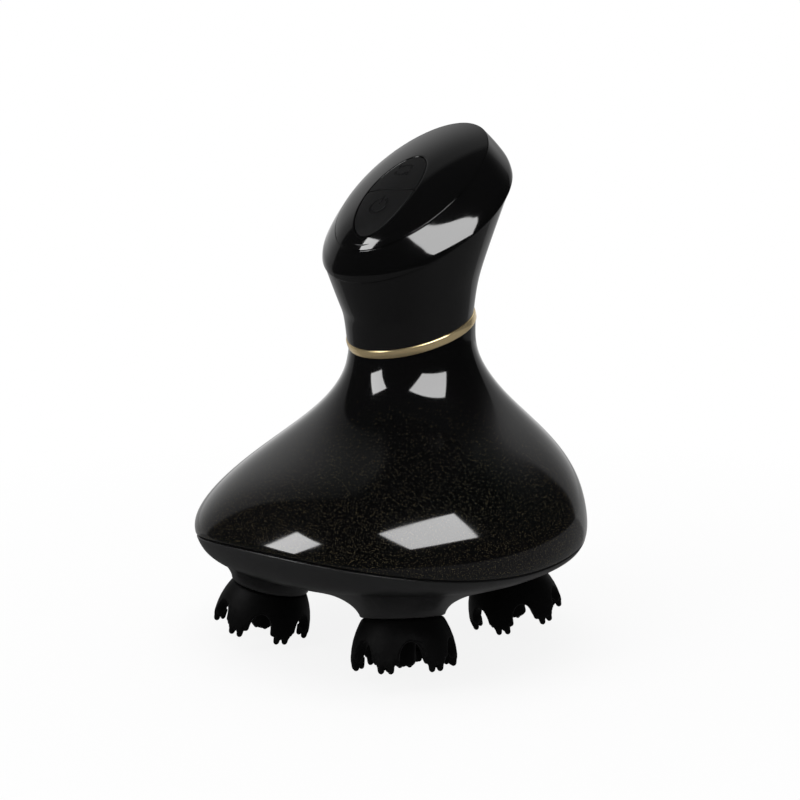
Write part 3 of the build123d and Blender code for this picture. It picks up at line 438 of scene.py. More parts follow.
def pod_form(name, place, around=160, steps=30):
    """One pod, from the closed top inside the cover down to the seal's pocket."""
    origin, outward, sideways, up = head_axes(place)
    angle = 2 * pi * np.arange(around) / around
    spoke = np.cos(angle)[:, None] * outward + np.sin(angle)[:, None] * sideways
    level = unit(spoke * [1, 1, 0])
    centre = origin + up * ((UNDERSIDE_Z - TIP_LIFT) / cos(SPLAY))
    reach = np.zeros(around)
    for _ in range(40):
        further = reach + MARCH
        spot = centre[:2] + level[:, :2] * further[:, None]
        reach = np.where(base_inset(spot[:, 0], spot[:, 1]) > RIM_MARGIN, further, reach)
    reach = soft_minimum(reach, POD_FOOT_RADIUS)

    def on_base(radius):
        """Points on the underside at these distances from the pod's axis."""
        spot = centre + level * radius[:, None]
        spot[:, 2] = base_height(spot[:, 0], spot[:, 1])
        return spot

    foot, beyond = on_base(reach), on_base(reach + 0.2)
    arrive = unit(beyond - foot)
    collar = origin + up * (POD_END + POD_EDGE) + spoke * POD_END_RADIUS
    leave = unit(up + FLARE_SPREAD * spoke)
    span = np.linalg.norm(foot - collar, axis=1)[:, None]
    flare = []
    for t in np.linspace(1, 0, steps):
        flare.append((2 * t ** 3 - 3 * t ** 2 + 1) * collar
                     + (t ** 3 - 2 * t ** 2 + t) * FLARE_PULL * span * leave
                     + (3 * t ** 2 - 2 * t ** 3) * foot + (t ** 3 - t ** 2) * span * arrive)
    lifted = beyond + np.array([0, 0, 0.04])
    roll = [origin + up * (POD_END + POD_EDGE * (1 - sin(a)))
            + spoke * (POD_END_RADIUS - POD_EDGE * (1 - cos(a))) for a in np.linspace(0.3, pi / 2, 5)]
    face = [origin + up * POD_END + spoke * (SEAL_RADIUS + 0.4),
            origin + up * (POD_END + 0.3) + spoke * (SEAL_RADIUS + POCKET_PLAY),
            origin + up * SEAL_TOP + spoke * (SEAL_RADIUS + POCKET_PLAY)]
    rows = [centre + np.array([0, 0, 1.2]), foot - level * 4 + np.array([0, 0, 1.0]), lifted, *flare, *roll,
            *face, origin + up * SEAL_TOP]
    return capped_piece(name, rows)


pods = [pod_form("pod_" + name, place) for name, place in HEADS.items()]
with bpy.context.temp_override(active_object=cover, object=cover, selected_objects=[cover] + pods,
                               selected_editable_objects=[cover] + pods):
    bpy.ops.object.join()
stands_for(cover, "housing", "cover_satin", "base_cover")

# %% [markdown]
# ## Gold ring
# The ring is a plated band that stands 0.3 mm proud of the neck and shell. A chamfered strip would show two
# hard lines, so its profile is a very shallow arch with rounded corners.

# %% Trim ring
RING_CORNER, RING_ARCH, RING_SINK, RING_SEAT = 0.32, 0.10, 0.08, 0.05
ring_rows = []
for height in np.concatenate([[-RING_HEIGHT / 2], np.linspace(-RING_HEIGHT / 2, RING_HEIGHT / 2, 25),
                              [RING_HEIGHT / 2]]):
    from_edge = RING_HEIGHT / 2 - abs(height)
    round_in = RING_CORNER - sqrt(max(0.0, RING_CORNER ** 2 - max(0.0, RING_CORNER - from_edge) ** 2))
    arch = RING_ARCH * (1 - (2 * height / RING_HEIGHT) ** 2)
    proud = RING_PROUD - RING_SINK + arch - round_in
    ring_rows.append(oval_points(moved_along(waist, height), inset=-proud))
ring_rows[0], ring_rows[-1] = (oval_points(moved_along(waist, side * RING_HEIGHT / 2),
                                           inset=RING_WALL - RING_SEAT) for side in (-1, 1))
ring = wall_piece("gold_ring", ring_rows)
stands_for(ring, "housing", "gold_trim", "trim_ring")

# %% [markdown]
# ## Neck and the lower half of the head
# Both are mouldings open at their two ends: the neck rises from the ring to the crease under the head, and
# the band leads from that crease to the cap. One function draws both, as an outer and an inner spline skin.
# The ends are rolled in, and these small radii catch the light as thin lines. The band's rolls are smaller.

# %% Neck and the lower half of the head
PARTING_EDGE = 0.18


def sleeve(name, parts, wall, rows, edge=EDGE):
    """A moulding open at both ends, with rolled edges and a real wall."""
    skin = spline_skin([oval_points(s) for s in parts])
    ends = np.zeros(COLUMNS), np.ones(COLUMNS)
    low, low_roll, _ = rolled_edge(skin, ends[0], -1, edge)
    high, high_roll, _ = rolled_edge(skin, ends[1], 1, edge)
    inner = spline_skin([oval_points(s) for s in inset_sections(parts, wall)])
    return wall_piece(name, low_roll[::-1] + between(skin, low, high, rows) + high_roll
                      + between(inner, 1.0, 0.0, 20))


neck_skin = sleeve("neck_skin", neck, SHELL_WALL, 90)
stands_for(neck_skin, "housing", "shell_gloss", "handle_sleeve")
band_skin = sleeve("head_band_skin", band, HEAD_WALL, 60, PARTING_EDGE)
stands_for(band_skin, "housing", "shell_gloss", "head_band")

# %% [markdown]
# ## Head cap
# The cap is a low dome on the tilted parting line, pierced by the oval of the keys. The dome is described
# by one equation, so any place on it has an exact height. The grid then runs from the cap's outline to the
# edge of the key opening, and no boolean has to cut the hole. Rows crowd together near the outline, where
# the dome is steepest.

# %% The dome's height and the cap
KEY_WIDTH, KEY_LENGTH, KEY_CENTRE, KEY_GAP = 7.75, 15.4, -8.8, 0.16
DOME_HALVINGS, HOLE_FOOT = 40, 1.0
CAP_FOOT = ((1.6, 0.0), (0.34, 0.0), (0.22, 0.02), (0.15, 0.07))


def on_cap(x, along, height):
    """Points given in the cap's own tilted plane, as object coordinates."""
    t = radians(CAP_TILT)
    x, along, height = np.broadcast_arrays(x, along, height)
    return np.stack([x, CAP_LEAN + along * cos(t) - height * sin(t),
                     CAP_Z + along * sin(t) + height * cos(t)], -1)


def dome_height(x, along):
    """Height of the domed cap over a place in its plane."""
    low, high = np.zeros(np.shape(x)), np.ones(np.shape(x))
    for _ in range(DOME_HALVINGS):
        rise = (low + high) / 2
        spread = (x / CAP_WIDTH) ** 2 + ((along + CAP_FORWARD * rise) / CAP_DEPTH) ** 2
        inside = rise < 1 - CAP_CROWN * spread - (1 - CAP_CROWN) * spread ** 2
        low, high = np.where(inside, rise, low), np.where(inside, high, rise)
    return CAP_RISE * low


def ellipse(width, length, centre=0.0):
    """An oval outline in the cap's plane, as pairs of x and distance along the plane."""
    angle = 2 * pi * np.arange(COLUMNS) / COLUMNS
    return np.stack([width * np.sin(angle), centre - length * np.cos(angle)], 1)


def dome_rows(outer, inner, count):
    """Rows on the dome between two outlines, crowded towards the outer one."""
    rows = []
    for share in np.linspace(0, 1, count) ** 2:
        spot = outer + (inner - outer) * share
        rows.append(on_cap(spot[:, 0], spot[:, 1], dome_height(spot[:, 0], spot[:, 1])))
    return rows


hole = ellipse(KEY_WIDTH + KEY_GAP, KEY_LENGTH + KEY_GAP, KEY_CENTRE)
lip = ellipse(KEY_WIDTH + KEY_GAP + EDGE, KEY_LENGTH + KEY_GAP + EDGE, KEY_CENTRE)
lip_height = dome_height(lip[:, 0], lip[:, 1])
hole_roll = []
for a in np.linspace(0, pi / 2, 6)[1:]:
    spot = lip + (hole - lip) * sin(a)
    hole_roll.append(on_cap(spot[:, 0], spot[:, 1], lip_height - EDGE * (1 - cos(a))))
hole_wall = [on_cap(hole[:, 0], hole[:, 1], np.full(COLUMNS, HOLE_FOOT))]
cap_foot = [on_cap(*(ellipse(CAP_WIDTH - inset, CAP_DEPTH - inset).T), height) for inset, height in CAP_FOOT]
cap_top = dome_rows(ellipse(CAP_WIDTH - PARTING_EDGE, CAP_DEPTH - PARTING_EDGE), lip, 60)
inner_far = ellipse(CAP_WIDTH - HEAD_WALL, CAP_DEPTH - HEAD_WALL)
inner_near = ellipse(KEY_WIDTH + 1.8, KEY_LENGTH + 1.2, KEY_CENTRE)
under = []
for share in np.linspace(0, 1, 12):
    spot = inner_near + (inner_far - inner_near) * share
    under.append(on_cap(spot[:, 0], spot[:, 1],
                        np.maximum(0.0, dome_height(spot[:, 0], spot[:, 1]) - HEAD_WALL - 0.2)))
cap = wall_piece("head_cap_skin", cap_foot + cap_top + hole_roll + hole_wall + under)
stands_for(cap, "housing", "shell_gloss", "head_cap")

# %% [markdown]
# ## The two keys
# Both keys are soft silicone and continue the cap's dome, with a hair-thin gap round them and between them.
# Each starts as a closed outline with rounded corners that shrinks to its middle in fine rings. The rings
# are fine enough to press the symbols into the surface: a power sign below, a pair of turning arrows above.
# The key's finish also paints shade into the pressed symbols, so they are darker than the key around them.

# %% Key outlines and symbols
KEY_SPLIT, KEY_FOOT, KEY_RINGS, LAST_RING = -8.2, -0.2, 84, 0.012
SIGN_DEPTH, STROKE, SIGN_FLANK = 0.16, 0.30, 0.18
POWER_SIGN, POWER_RADIUS, TURN_SIGN, TURN_RADIUS, BARB = (0.1, -14.4), 2.5, (-0.4, 0.2), 2.3, 1.1


def key_outline(side, columns=320):
    """One key's outline: its share of the oval, closed by a straight edge along the split."""
    cut = KEY_SPLIT + side * KEY_GAP / 2
    turn = np.arccos((KEY_CENTRE - cut) / KEY_LENGTH)
    angle = np.linspace(-turn, turn, 400) if side < 0 else np.linspace(turn, 2 * pi - turn, 400)
    arc = np.stack([KEY_WIDTH * np.sin(angle), KEY_CENTRE - KEY_LENGTH * np.cos(angle)], 1)
    straight = arc[-1] + (arc[0] - arc[-1]) * np.linspace(0, 1, 120)[1:-1, None]
    path = np.concatenate([arc, straight, arc[:1]])
    run = np.concatenate([[0], np.cumsum(np.linalg.norm(np.diff(path, axis=0), axis=1))])
    even = np.linspace(0, run[-1], columns, endpoint=False)
    path = np.stack([np.interp(even, run, path[:, k]) for k in (0, 1)], 1)
    for _ in range(3):
        path = sum(np.roll(path, shift, 0) for shift in (2, 1, 0, -1, -2)) / 5
    return path


def arc_distance(x, y, radius, start, end):
    """Distance from places to an arc round the origin, angles in degrees from the x axis."""
    angle = np.degrees(np.arctan2(y, x)) % 360
    within = (angle - start) % 360 <= (end - start) % 360
    to_ends = np.min([np.hypot(x - radius * cos(radians(a)), y - radius * sin(radians(a)))
                      for a in (start, end)], axis=0)
    return np.where(within, np.abs(np.hypot(x, y) - radius), to_ends)


def line_distance(x, y, ax, ay, bx, by):
    """Distance from places to a straight stroke from a to b."""
    share = np.clip(((x - ax) * (bx - ax) + (y - ay) * (by - ay)) / ((bx - ax) ** 2 + (by - ay) ** 2), 0, 1)
    return np.hypot(x - ax - share * (bx - ax), y - ay - share * (by - ay))


def sign_mark(x, along):
    """1 inside the pressed symbols and 0 outside, with soft flanks."""
    px, py = x - POWER_SIGN[0], along - POWER_SIGN[1]
    power = np.minimum(arc_distance(px, py, POWER_RADIUS, 125, 55), line_distance(px, py, 0, 1.0, 0, 3.1))
    tx, ty = x - TURN_SIGN[0], along - TURN_SIGN[1]
    strokes = [arc_distance(tx, ty, TURN_RADIUS, 20, 150), arc_distance(tx, ty, TURN_RADIUS, 200, 330)]
    for tip, slant in ((150, 25), (150, 115), (330, 205), (330, 295)):
        ax, ay = TURN_RADIUS * cos(radians(tip)), TURN_RADIUS * sin(radians(tip))
        strokes.append(line_distance(tx, ty, ax, ay, ax + BARB * cos(radians(slant)),
                                     ay + BARB * sin(radians(slant))))
    near = np.minimum(power, np.min(strokes, axis=0))
    edge = np.clip((near - STROKE) / SIGN_FLANK, 0, 1)
    return 1 - edge * edge * (3 - 2 * edge)


def key_form(name, side, body, cad_node):
    """One key with rolled edges, the dome's curve and its pressed symbol."""
    path = key_outline(side)
    onward = unit(np.roll(path, -1, 0) - np.roll(path, 1, 0))
    inward = np.stack([-onward[:, 1], onward[:, 0]], 1)
    middle = path.mean(0)
    inward *= np.sign(((middle - path) * inward).sum(1))[:, None]
    top = path + inward * EDGE
    height = dome_height(top[:, 0], top[:, 1])
    rows = [on_cap(path[:, 0], path[:, 1], np.full(len(path), KEY_FOOT))]
    for a in np.linspace(0, pi / 2, 6)[:-1]:
        spot = path + inward * EDGE * (1 - cos(a))
        rows.append(on_cap(spot[:, 0], spot[:, 1], height - EDGE * (1 - sin(a))))
    marks = [np.zeros(len(path))] * len(rows)
    for share in np.linspace(1, LAST_RING, KEY_RINGS):
        spot = middle + (top - middle) * share
        mark = sign_mark(spot[:, 0], spot[:, 1])
        marks.append(mark)
        rows.append(on_cap(spot[:, 0], spot[:, 1], dome_height(spot[:, 0], spot[:, 1]) - SIGN_DEPTH * mark))
    pole = on_cap(middle[0], middle[1], dome_height(middle[0], middle[1]))
    key = capped_piece(name, [on_cap(middle[0], middle[1], KEY_FOOT)] + rows + [pole])
    # The symbol marks stay on the mesh, so the key's finish can paint shade into the pressed symbols.
    symbol_shade = key.data.attributes.new("pressed", "FLOAT", "POINT")
    symbol_shade.data.foreach_set("value", np.concatenate([[0.0], *marks, [0.0]]).astype(np.float32))
    stands_for(key, body, "key_silicone", cad_node)
    return key


power_key = key_form("power_key_skin", -1, "power_key", "power_key")
mode_key = key_form("mode_key_skin", 1, "mode_key", "mode_key")

# %% [markdown]
# ## Silicone claws
# Each claw is cast silicone: a small bell that opens into six petals, like a flower held upside down,
# with a finger in its middle. A petal has two shoulders and a narrower tip, and rounded nodules stand on
# all of them. The bell is a grid like the housing's, but its lower edge rises and falls. One function of
# the angle gives that edge: the tip, then the shoulder, then the arch that leads to the next petal.

# %% The bell with its petals
PETALS, PITCH = 6, 60.0
CLAW_TOP, ARCH_TOP, SHOULDER_END, TIP_END, CLAW_ROOF = 12.05, 7.5, 3.3, 1.9, 7.8
TIP_HALF, SHOULDER_HALF, SHOULDER_STEP = 9.0, 15.5, 1.5
SOCKET_RADIUS, SOCKET_ROOF, SOCKET_RIM = 6.4, 8.8, 9.6
PETAL_WALL, PETAL_SWELL, PETAL_LIP = 2.4, 1.2, 0.3
FINGER, FINGER_TIP = ((3.4, CLAW_ROOF), (3.0, CLAW_ROOF - 0.5), (2.7, 1.2), (2.2, 0.7)), 0.6
CLAW_TURNS = {"front_left": -3.0, "front_right": 33.0, "back_right": 0.0, "back_left": 30.0}
PROFILE_Z = (1.0, 2.8, 5.0, 7.0, 9.0, 10.6, 11.6, 12.05)
PROFILE_R = (12.75, 12.80, 12.55, 12.10, 11.40, 10.65, 10.10, 9.75)


def petal_edge(angle):
    """Height of the bell's lower edge at an angle round it: tip, shoulders and the arch between petals."""
    off = np.abs((angle + PITCH / 2) % PITCH - PITCH / 2)
    step = TIP_END + (SHOULDER_END - TIP_END) * np.clip((off - TIP_HALF) / SHOULDER_STEP, 0, 1)
    share = np.clip((PITCH / 2 - off) / (PITCH / 2 - SHOULDER_HALF), 0, 1)
    arch = SHOULDER_END + (ARCH_TOP - SHOULDER_END) * np.sqrt(1 - share ** 2)
    return np.where(off < SHOULDER_HALF, step, arch)


def claw_bell(axes, turn, columns=240):
    """Rows of the bell, from the socket on its top over the petals to the finger in its middle."""
    origin, outward, sideways, up = axes
    angle = 360.0 * np.arange(columns) / columns
    around = np.radians(angle + turn)[:, None]
    spoke = np.cos(around) * outward + np.sin(around) * sideways

    def row(radius, height):
        """One row round the claw's axis."""
        radius, height = np.broadcast_to(radius, (columns,)), np.broadcast_to(height, (columns,))
        return origin + up * height[:, None] + spoke * radius[:, None]

    edge = petal_edge(angle)
    rows = [origin + up * SOCKET_ROOF, row(SOCKET_RADIUS, SOCKET_ROOF), row(SOCKET_RADIUS, CLAW_TOP),
            row(SOCKET_RIM, CLAW_TOP)]
    for t in np.linspace(0.02, 1, 34):
        height = CLAW_TOP - (CLAW_TOP - edge) * t
        rows.append(row(np.interp(height, PROFILE_Z, PROFILE_R), height))
    outer = np.interp(edge, PROFILE_Z, PROFILE_R)
    rows += [row(outer - 0.5, edge - PETAL_LIP), row(outer - 1.9, edge - PETAL_LIP)]
    rows.append(row(outer - PETAL_WALL, edge))
    for t in np.linspace(0.15, 1, 10):
        height = edge + (CLAW_ROOF - edge) * t
        rows.append(row(np.interp(height, PROFILE_Z, PROFILE_R) - PETAL_WALL - PETAL_SWELL * t, height))
    return rows + [row(radius, height) for radius, height in FINGER] + [origin + up * FINGER_TIP]


print("Petal edge in mm, from tip to arch:", petal_edge(np.array([0.0, 12.0, 20.0, 30.0])).round(1).tolist())

# %% [markdown]
# ## Nodules, melted into the claws
# Modelling such soft joints by hand takes long. Here the bell and each nodule are separate closed forms that
# run into each other. A voxel remesh melts them into one even skin of tiny squares, and a few rounds of
# smoothing wear all edges down by the same small radius, as casting does.

# %% Nodules and the finished claws
VOXEL = 0.00022
WEAR_ROUNDS, NODULE_SIDES = 5, 16
TIP_NODULE, SHOULDER_NODULE = (11.8, 5.9, 0.0, 3.4, 0.94), (11.6, 12.4, 2.0, 4.6, 0.86)
INNER_NODULE, FINGER_NODULE = (10.3, 0.0, 0.3, 3.2, 0.84), (1.35, 30.0, 0.1, 2.4, 0.84)


def nodule_form(axes, radius, angle, low, high, thick):
    """A rounded peg that points down: distance from the axis, angle, lower and upper height, radius."""
    origin, outward, sideways, up = axes
    foot = origin + radius * (cos(radians(angle)) * outward + sin(radians(angle)) * sideways)
    turn = 2 * pi * np.arange(NODULE_SIDES) / NODULE_SIDES
    spoke = np.cos(turn)[:, None] * outward + np.sin(turn)[:, None] * sideways
    rows = [foot + up * low]
    for a in np.linspace(0.25, pi / 2, 5):
        rows.append(foot + up * (low + thick * (1 - cos(a))) + spoke * thick * sin(a) * 0.88)
    rows += [foot + up * high + spoke * thick * 1.1, foot + up * high]
    return capped_piece("nodule", rows[::-1])


def claw_piece(name, place, turn):
    """One claw: bell, nodules and finger run together and worn smooth."""
    axes = head_axes(place)
    forms = [capped_piece(name, claw_bell(axes, turn))]
    for petal in range(PETALS):
        middle = turn + petal * PITCH
        places = [(side, nodule) for side in (-1, 1) for nodule in (TIP_NODULE, SHOULDER_NODULE)]
        for side, (radius, off, low, high, thick) in places + [(1, INNER_NODULE)]:
            forms.append(nodule_form(axes, radius, middle + side * off, low, high, thick))
    radius, off, low, high, thick = FINGER_NODULE
    for k in range(3):
        forms.append(nodule_form(axes, radius, turn + off + 120 * k, low, high, thick))
    claw = forms[0]
    with bpy.context.temp_override(active_object=claw, object=claw, selected_objects=forms,
                                   selected_editable_objects=forms):
        bpy.ops.object.join()
    melt = claw.modifiers.new("even skin", "REMESH")
    melt.mode, melt.voxel_size, melt.use_smooth_shade = "VOXEL", VOXEL, True
    wear = claw.modifiers.new("worn edges", "SMOOTH")
    wear.factor, wear.iterations = 0.5, WEAR_ROUNDS
    mesh = bpy.data.meshes.new_from_object(claw.evaluated_get(bpy.context.evaluated_depsgraph_get()))
    claw.modifiers.clear()
    claw.data = mesh
    mesh.shade_smooth()
    return claw


claws = {}
for head, place in HEADS.items():
    claws[head] = claw_piece("claw_skin_" + head, place, CLAW_TURNS[head])
    stands_for(claws[head], "head_" + head, "claw_silicone", "claw_" + head)

# %% [markdown]
# ## Finishes
# A material here is a small group of nodes: a base colour, a fine variation of it, a roughness that is never
# quite even, and a bump that is far too small to see as relief but breaks up reflections as a real surface
# does. Object coordinates are used throughout, because every piece keeps the CAD frame's own metres.

# %% A helper for finishes
def finish(name, colour, rough, metal=0.0, specular=0.5):
    """A new material with its node tree, its main shader and object coordinates ready."""
    material = bpy.data.materials.new(name)
    material.use_nodes = True
    tree = material.node_tree
    shader = tree.nodes["Principled BSDF"]
    shader.inputs["Base Color"].default_value = (*colour, 1)
    shader.inputs["Roughness"].default_value = rough
    shader.inputs["Metallic"].default_value = metal
    shader.inputs["Specular IOR Level"].default_value = specular
    place = tree.nodes.new("ShaderNodeTexCoord")
    return material, tree, shader, place.outputs["Object"]


def node(tree, kind, settings=(), **links):
    """A node with its settings and its inputs, each a number or another node's output.

    An input goes by its name, or by i and its number where a node has several of one name.
    """
    made = tree.nodes.new(kind)
    for key, value in dict(settings).items():
        setattr(made, key, value)
    for key, value in links.items():
        numbered = key[0] == "i" and key[1:].isdigit()
        socket = made.inputs[int(key[1:]) if numbered else key.replace("_", " ")]
        if isinstance(value, bpy.types.NodeSocket):
            tree.links.new(value, socket)
        else:
            socket.default_value = value
    return made


def maths(tree, operation, first, second, clamp=False):
    """The result of one sum on two values."""
    settings = {"operation": operation, "use_clamp": clamp}
    return node(tree, "ShaderNodeMath", settings, i0=first, i1=second).outputs[0]


def noise(tree, coordinates, size_mm, detail=3.0, roughness=0.5):
    """Cloudy variation whose features are about this many millimetres wide."""
    return node(tree, "ShaderNodeTexNoise", Vector=coordinates, Scale=1 / (size_mm * MM), Detail=detail,
                Roughness=roughness).outputs["Fac"]


def remap(tree, value, low, high, from_low=0.35, from_high=0.65):
    """A value stretched from one range to another; the middle of a noise lies between 0.35 and 0.65."""
    return node(tree, "ShaderNodeMapRange", i0=value, i1=from_low, i2=from_high, i3=low, i4=high).outputs[0]


def blend_colours(tree, share, first, second):
    """The first colour where the share is 0 and the second where it is 1."""
    mixed = node(tree, "ShaderNodeMix", {"data_type": "RGBA"}, i0=share, i6=first, i7=second)
    return mixed.outputs[2]


def bump(tree, shader, height, depth_mm):
    """Very shallow relief, as deep as given in millimetres."""
    relief = node(tree, "ShaderNodeBump", Height=height, Distance=depth_mm * MM, Strength=1.0)
    tree.links.new(relief.outputs["Normal"], shader.inputs["Normal"])


def paint(objects, material):
    """Gives every piece in the list this one material."""
    for thing in objects:
        if thing.data.materials:
            for slot_index in range(len(thing.data.materials)):
                thing.material_slots[slot_index].material = material
        else:
            thing.data.materials.append(material)
    print(f"{material.name}: on {len(objects)} pieces")


print("Finish helpers ready: noise, remap, blend_colours, bump and paint")

# %% [markdown]
# ## Lacquered black with metal flakes
# The housing is black plastic under clear lacquer. On the base the lacquer carries fine golden flakes that
# thicken towards the rim. Each flake is one cell of a Voronoi pattern. A random number per cell decides
# whether the cell is a flake at all, and the height above the table makes flakes rarer further up.

# %% Black lacquer
FLAKE, FLAKE_RADIUS, FLAKE_CONTRAST = 0.20, 0.36, 2.2
FLAKES_FROM, FLAKES_TO, FLAKE_LIMIT_RIM, FLAKE_LIMIT_WAIST = 0.030, 0.066, 0.50, 1.02
BLACKS = (0.0018, 0.0018, 0.0019, 1), (0.0028, 0.0028, 0.0029, 1)
FLAKE_GOLDS = (0.008, 0.007, 0.005, 1), (0.11, 0.088, 0.045, 1)


def lacquer(name, flakes):
    """Clear lacquer on black plastic, with golden flakes in it or without."""
    material, tree, shader, place = finish(name, (0.0035, 0.0035, 0.0037), 0.06)
    tree.links.new(remap(tree, noise(tree, place, 9.0), 0.05, 0.085), shader.inputs["Roughness"])
    bump(tree, shader, noise(tree, place, 1.4, 2.0), 0.0006)
    black = blend_colours(tree, noise(tree, place, 22.0), *BLACKS)
    if not flakes:
        tree.links.new(black, shader.inputs["Base Color"])
        return material
    cells = node(tree, "ShaderNodeTexVoronoi", Vector=place, Scale=1 / (FLAKE * MM))
    draw = node(tree, "ShaderNodeSeparateColor", Color=cells.outputs["Color"])
    height = node(tree, "ShaderNodeSeparateXYZ", Vector=place).outputs["Z"]
    threshold = remap(tree, height, FLAKE_LIMIT_RIM, FLAKE_LIMIT_WAIST, FLAKES_FROM, FLAKES_TO)
    chosen = maths(tree, "GREATER_THAN", draw.outputs[0], threshold)
    small = maths(tree, "LESS_THAN", cells.outputs["Distance"], FLAKE_RADIUS)
    flake = maths(tree, "MULTIPLY", chosen, small)
    shine = maths(tree, "POWER", draw.outputs[1], FLAKE_CONTRAST)
    gold = blend_colours(tree, shine, *FLAKE_GOLDS)
    tree.links.new(blend_colours(tree, flake, black, gold), shader.inputs["Base Color"])
    return material


gloss_black = lacquer("black_lacquer", False)
flaked_black = lacquer("flaked_black_lacquer", True)
paint([shell], flaked_black)
paint([neck_skin, band_skin, cap], gloss_black)

# %% [markdown]
# ## Satin plastic, silicone and gold
# The cover is moulded with a fine spark-eroded texture, which scatters light evenly. Silicone is darker and
# duller still, with a faint velvet edge. The gold ring is polished along its length, so its noise is
# stretched round the waist into hairlines.

# %% Satin cover, silicone and gold
def moulded(name, colour, rough, specular, grain_mm, depth_mm, metal=0.0):
    """Moulded plastic, rubber or plain metal: a little cloud in its colour, a fine grain in its surface."""
    material, tree, shader, place = finish(name, colour, rough, metal, specular)
    cloud = noise(tree, place, grain_mm * 14)
    light, dark = ([c * share for c in colour] + [1] for share in (1.18, 0.84))
    tree.links.new(blend_colours(tree, cloud, dark, light), shader.inputs["Base Color"])
    grain = noise(tree, place, grain_mm, 2.0)
    tree.links.new(remap(tree, grain, rough - 0.05, rough + 0.05), shader.inputs["Roughness"])
    bump(tree, shader, grain, depth_mm)
    return material, tree, shader, place


satin, *_ = moulded("satin_black_cover", (0.0105, 0.0105, 0.0108), 0.36, 0.50, 0.22, 0.004)
paint([cover], satin)
silicone, _, silicone_shader, _ = moulded(
    "claw_silicone_black", (0.0026, 0.0026, 0.0027), 0.55, 0.09, 0.16, 0.006)
silicone_shader.inputs["Sheen Weight"].default_value = 0.01
silicone_shader.inputs["Sheen Roughness"].default_value = 0.45
paint(list(claws.values()), silicone)

key_material, key_tree, key_shader, _ = moulded(
    "key_silicone_dark", (0.0050, 0.0050, 0.0052), 0.50, 0.08, 0.14, 0.004)
# Painted shade: the pressed symbols are coloured darker than the rest of the key.
pressed = node(key_tree, "ShaderNodeAttribute", {"attribute_name": "pressed"}).outputs["Fac"]
soft_grey = key_shader.inputs["Base Color"].links[0].from_socket
key_tree.links.new(blend_colours(key_tree, pressed, soft_grey, (0.0022, 0.0022, 0.0024, 1)),
                   key_shader.inputs["Base Color"])
paint([power_key, mode_key], key_material)

gold, gold_tree, gold_shader, gold_place = finish("polished_pale_gold", (0.83, 0.66, 0.38), 0.16, 0.8)
squeeze = node(gold_tree, "ShaderNodeMapping", Vector=gold_place)
squeeze.inputs["Rotation"].default_value = (radians(WAIST_TILT), 0, 0)
squeeze.inputs["Scale"].default_value = (0.06, 0.06, 1.0)
hairlines = noise(gold_tree, squeeze.outputs["Vector"], 0.12, 3.0)
gold_tree.links.new(remap(gold_tree, hairlines, 0.10, 0.22), gold_shader.inputs["Roughness"])
gold_tree.links.new(blend_colours(gold_tree, noise(gold_tree, gold_place, 6.0), (0.80, 0.61, 0.31, 1),
                                  (0.88, 0.71, 0.43, 1)), gold_shader.inputs["Base Color"])
bump(gold_tree, gold_shader, hairlines, 0.001)
paint([ring], gold)

# %% [markdown]
# ## Plain finishes for the hidden parts
# Gears, shafts, bushes, the motor and the battery are only seen when someone takes the part apart, so their
# CAD meshes stay and get a plain finish each. The record names a material slot for every node, and all nodes
# of one slot share one finish: colour, roughness, specular level, grain and relief in millimetres, metallic.

# %% Finishes of the parts that stay as CAD nodes
plain_finishes = {
    "hub_plastic": ((0.0060, 0.0060, 0.0062), 0.45, 0.25, 0.25, 0.004, 0.0),
    "seal_rubber": ((0.0030, 0.0030, 0.0030), 0.65, 0.15, 0.20, 0.005, 0.0),
    "inner_plastic": ((0.045, 0.045, 0.047), 0.50, 0.40, 0.30, 0.004, 0.0),
    "gear_nylon": ((0.62, 0.60, 0.54), 0.42, 0.45, 0.25, 0.004, 0.0),
    "shaft_steel": ((0.56, 0.56, 0.58), 0.24, 0.5, 0.15, 0.002, 1.0),
    "bush_bronze": ((0.52, 0.34, 0.16), 0.34, 0.5, 0.18, 0.003, 1.0),
    "motor_steel": ((0.48, 0.49, 0.50), 0.30, 0.5, 0.30, 0.003, 1.0),
    "cell_wrap": ((0.03, 0.10, 0.30), 0.35, 0.5, 0.40, 0.003, 0.0),
    "board_green": ((0.012, 0.10, 0.035), 0.32, 0.5, 0.30, 0.003, 0.0),
    "switch_black": ((0.010, 0.010, 0.011), 0.42, 0.4, 0.20, 0.003, 0.0),
    "contact_gold": ((0.83, 0.62, 0.28), 0.20, 0.5, 0.12, 0.001, 1.0),
}
slot_of = {part["node"]: part["material_slot"] for part in frame["record"]["subparts"]}
for slot_name, numbers in plain_finishes.items():
    members = [nodes[name] for name, named_slot in slot_of.items() if named_slot == slot_name]
    if members:
        paint(members, moulded("plain_" + slot_name, *numbers)[0])

# %% [markdown]
# ## Camera
# The camera stands in front of the keys, a little to their right, just above the table, and looks slightly
# down. A 50 mm lens at about 30 cm gives the mild perspective of a product shot.

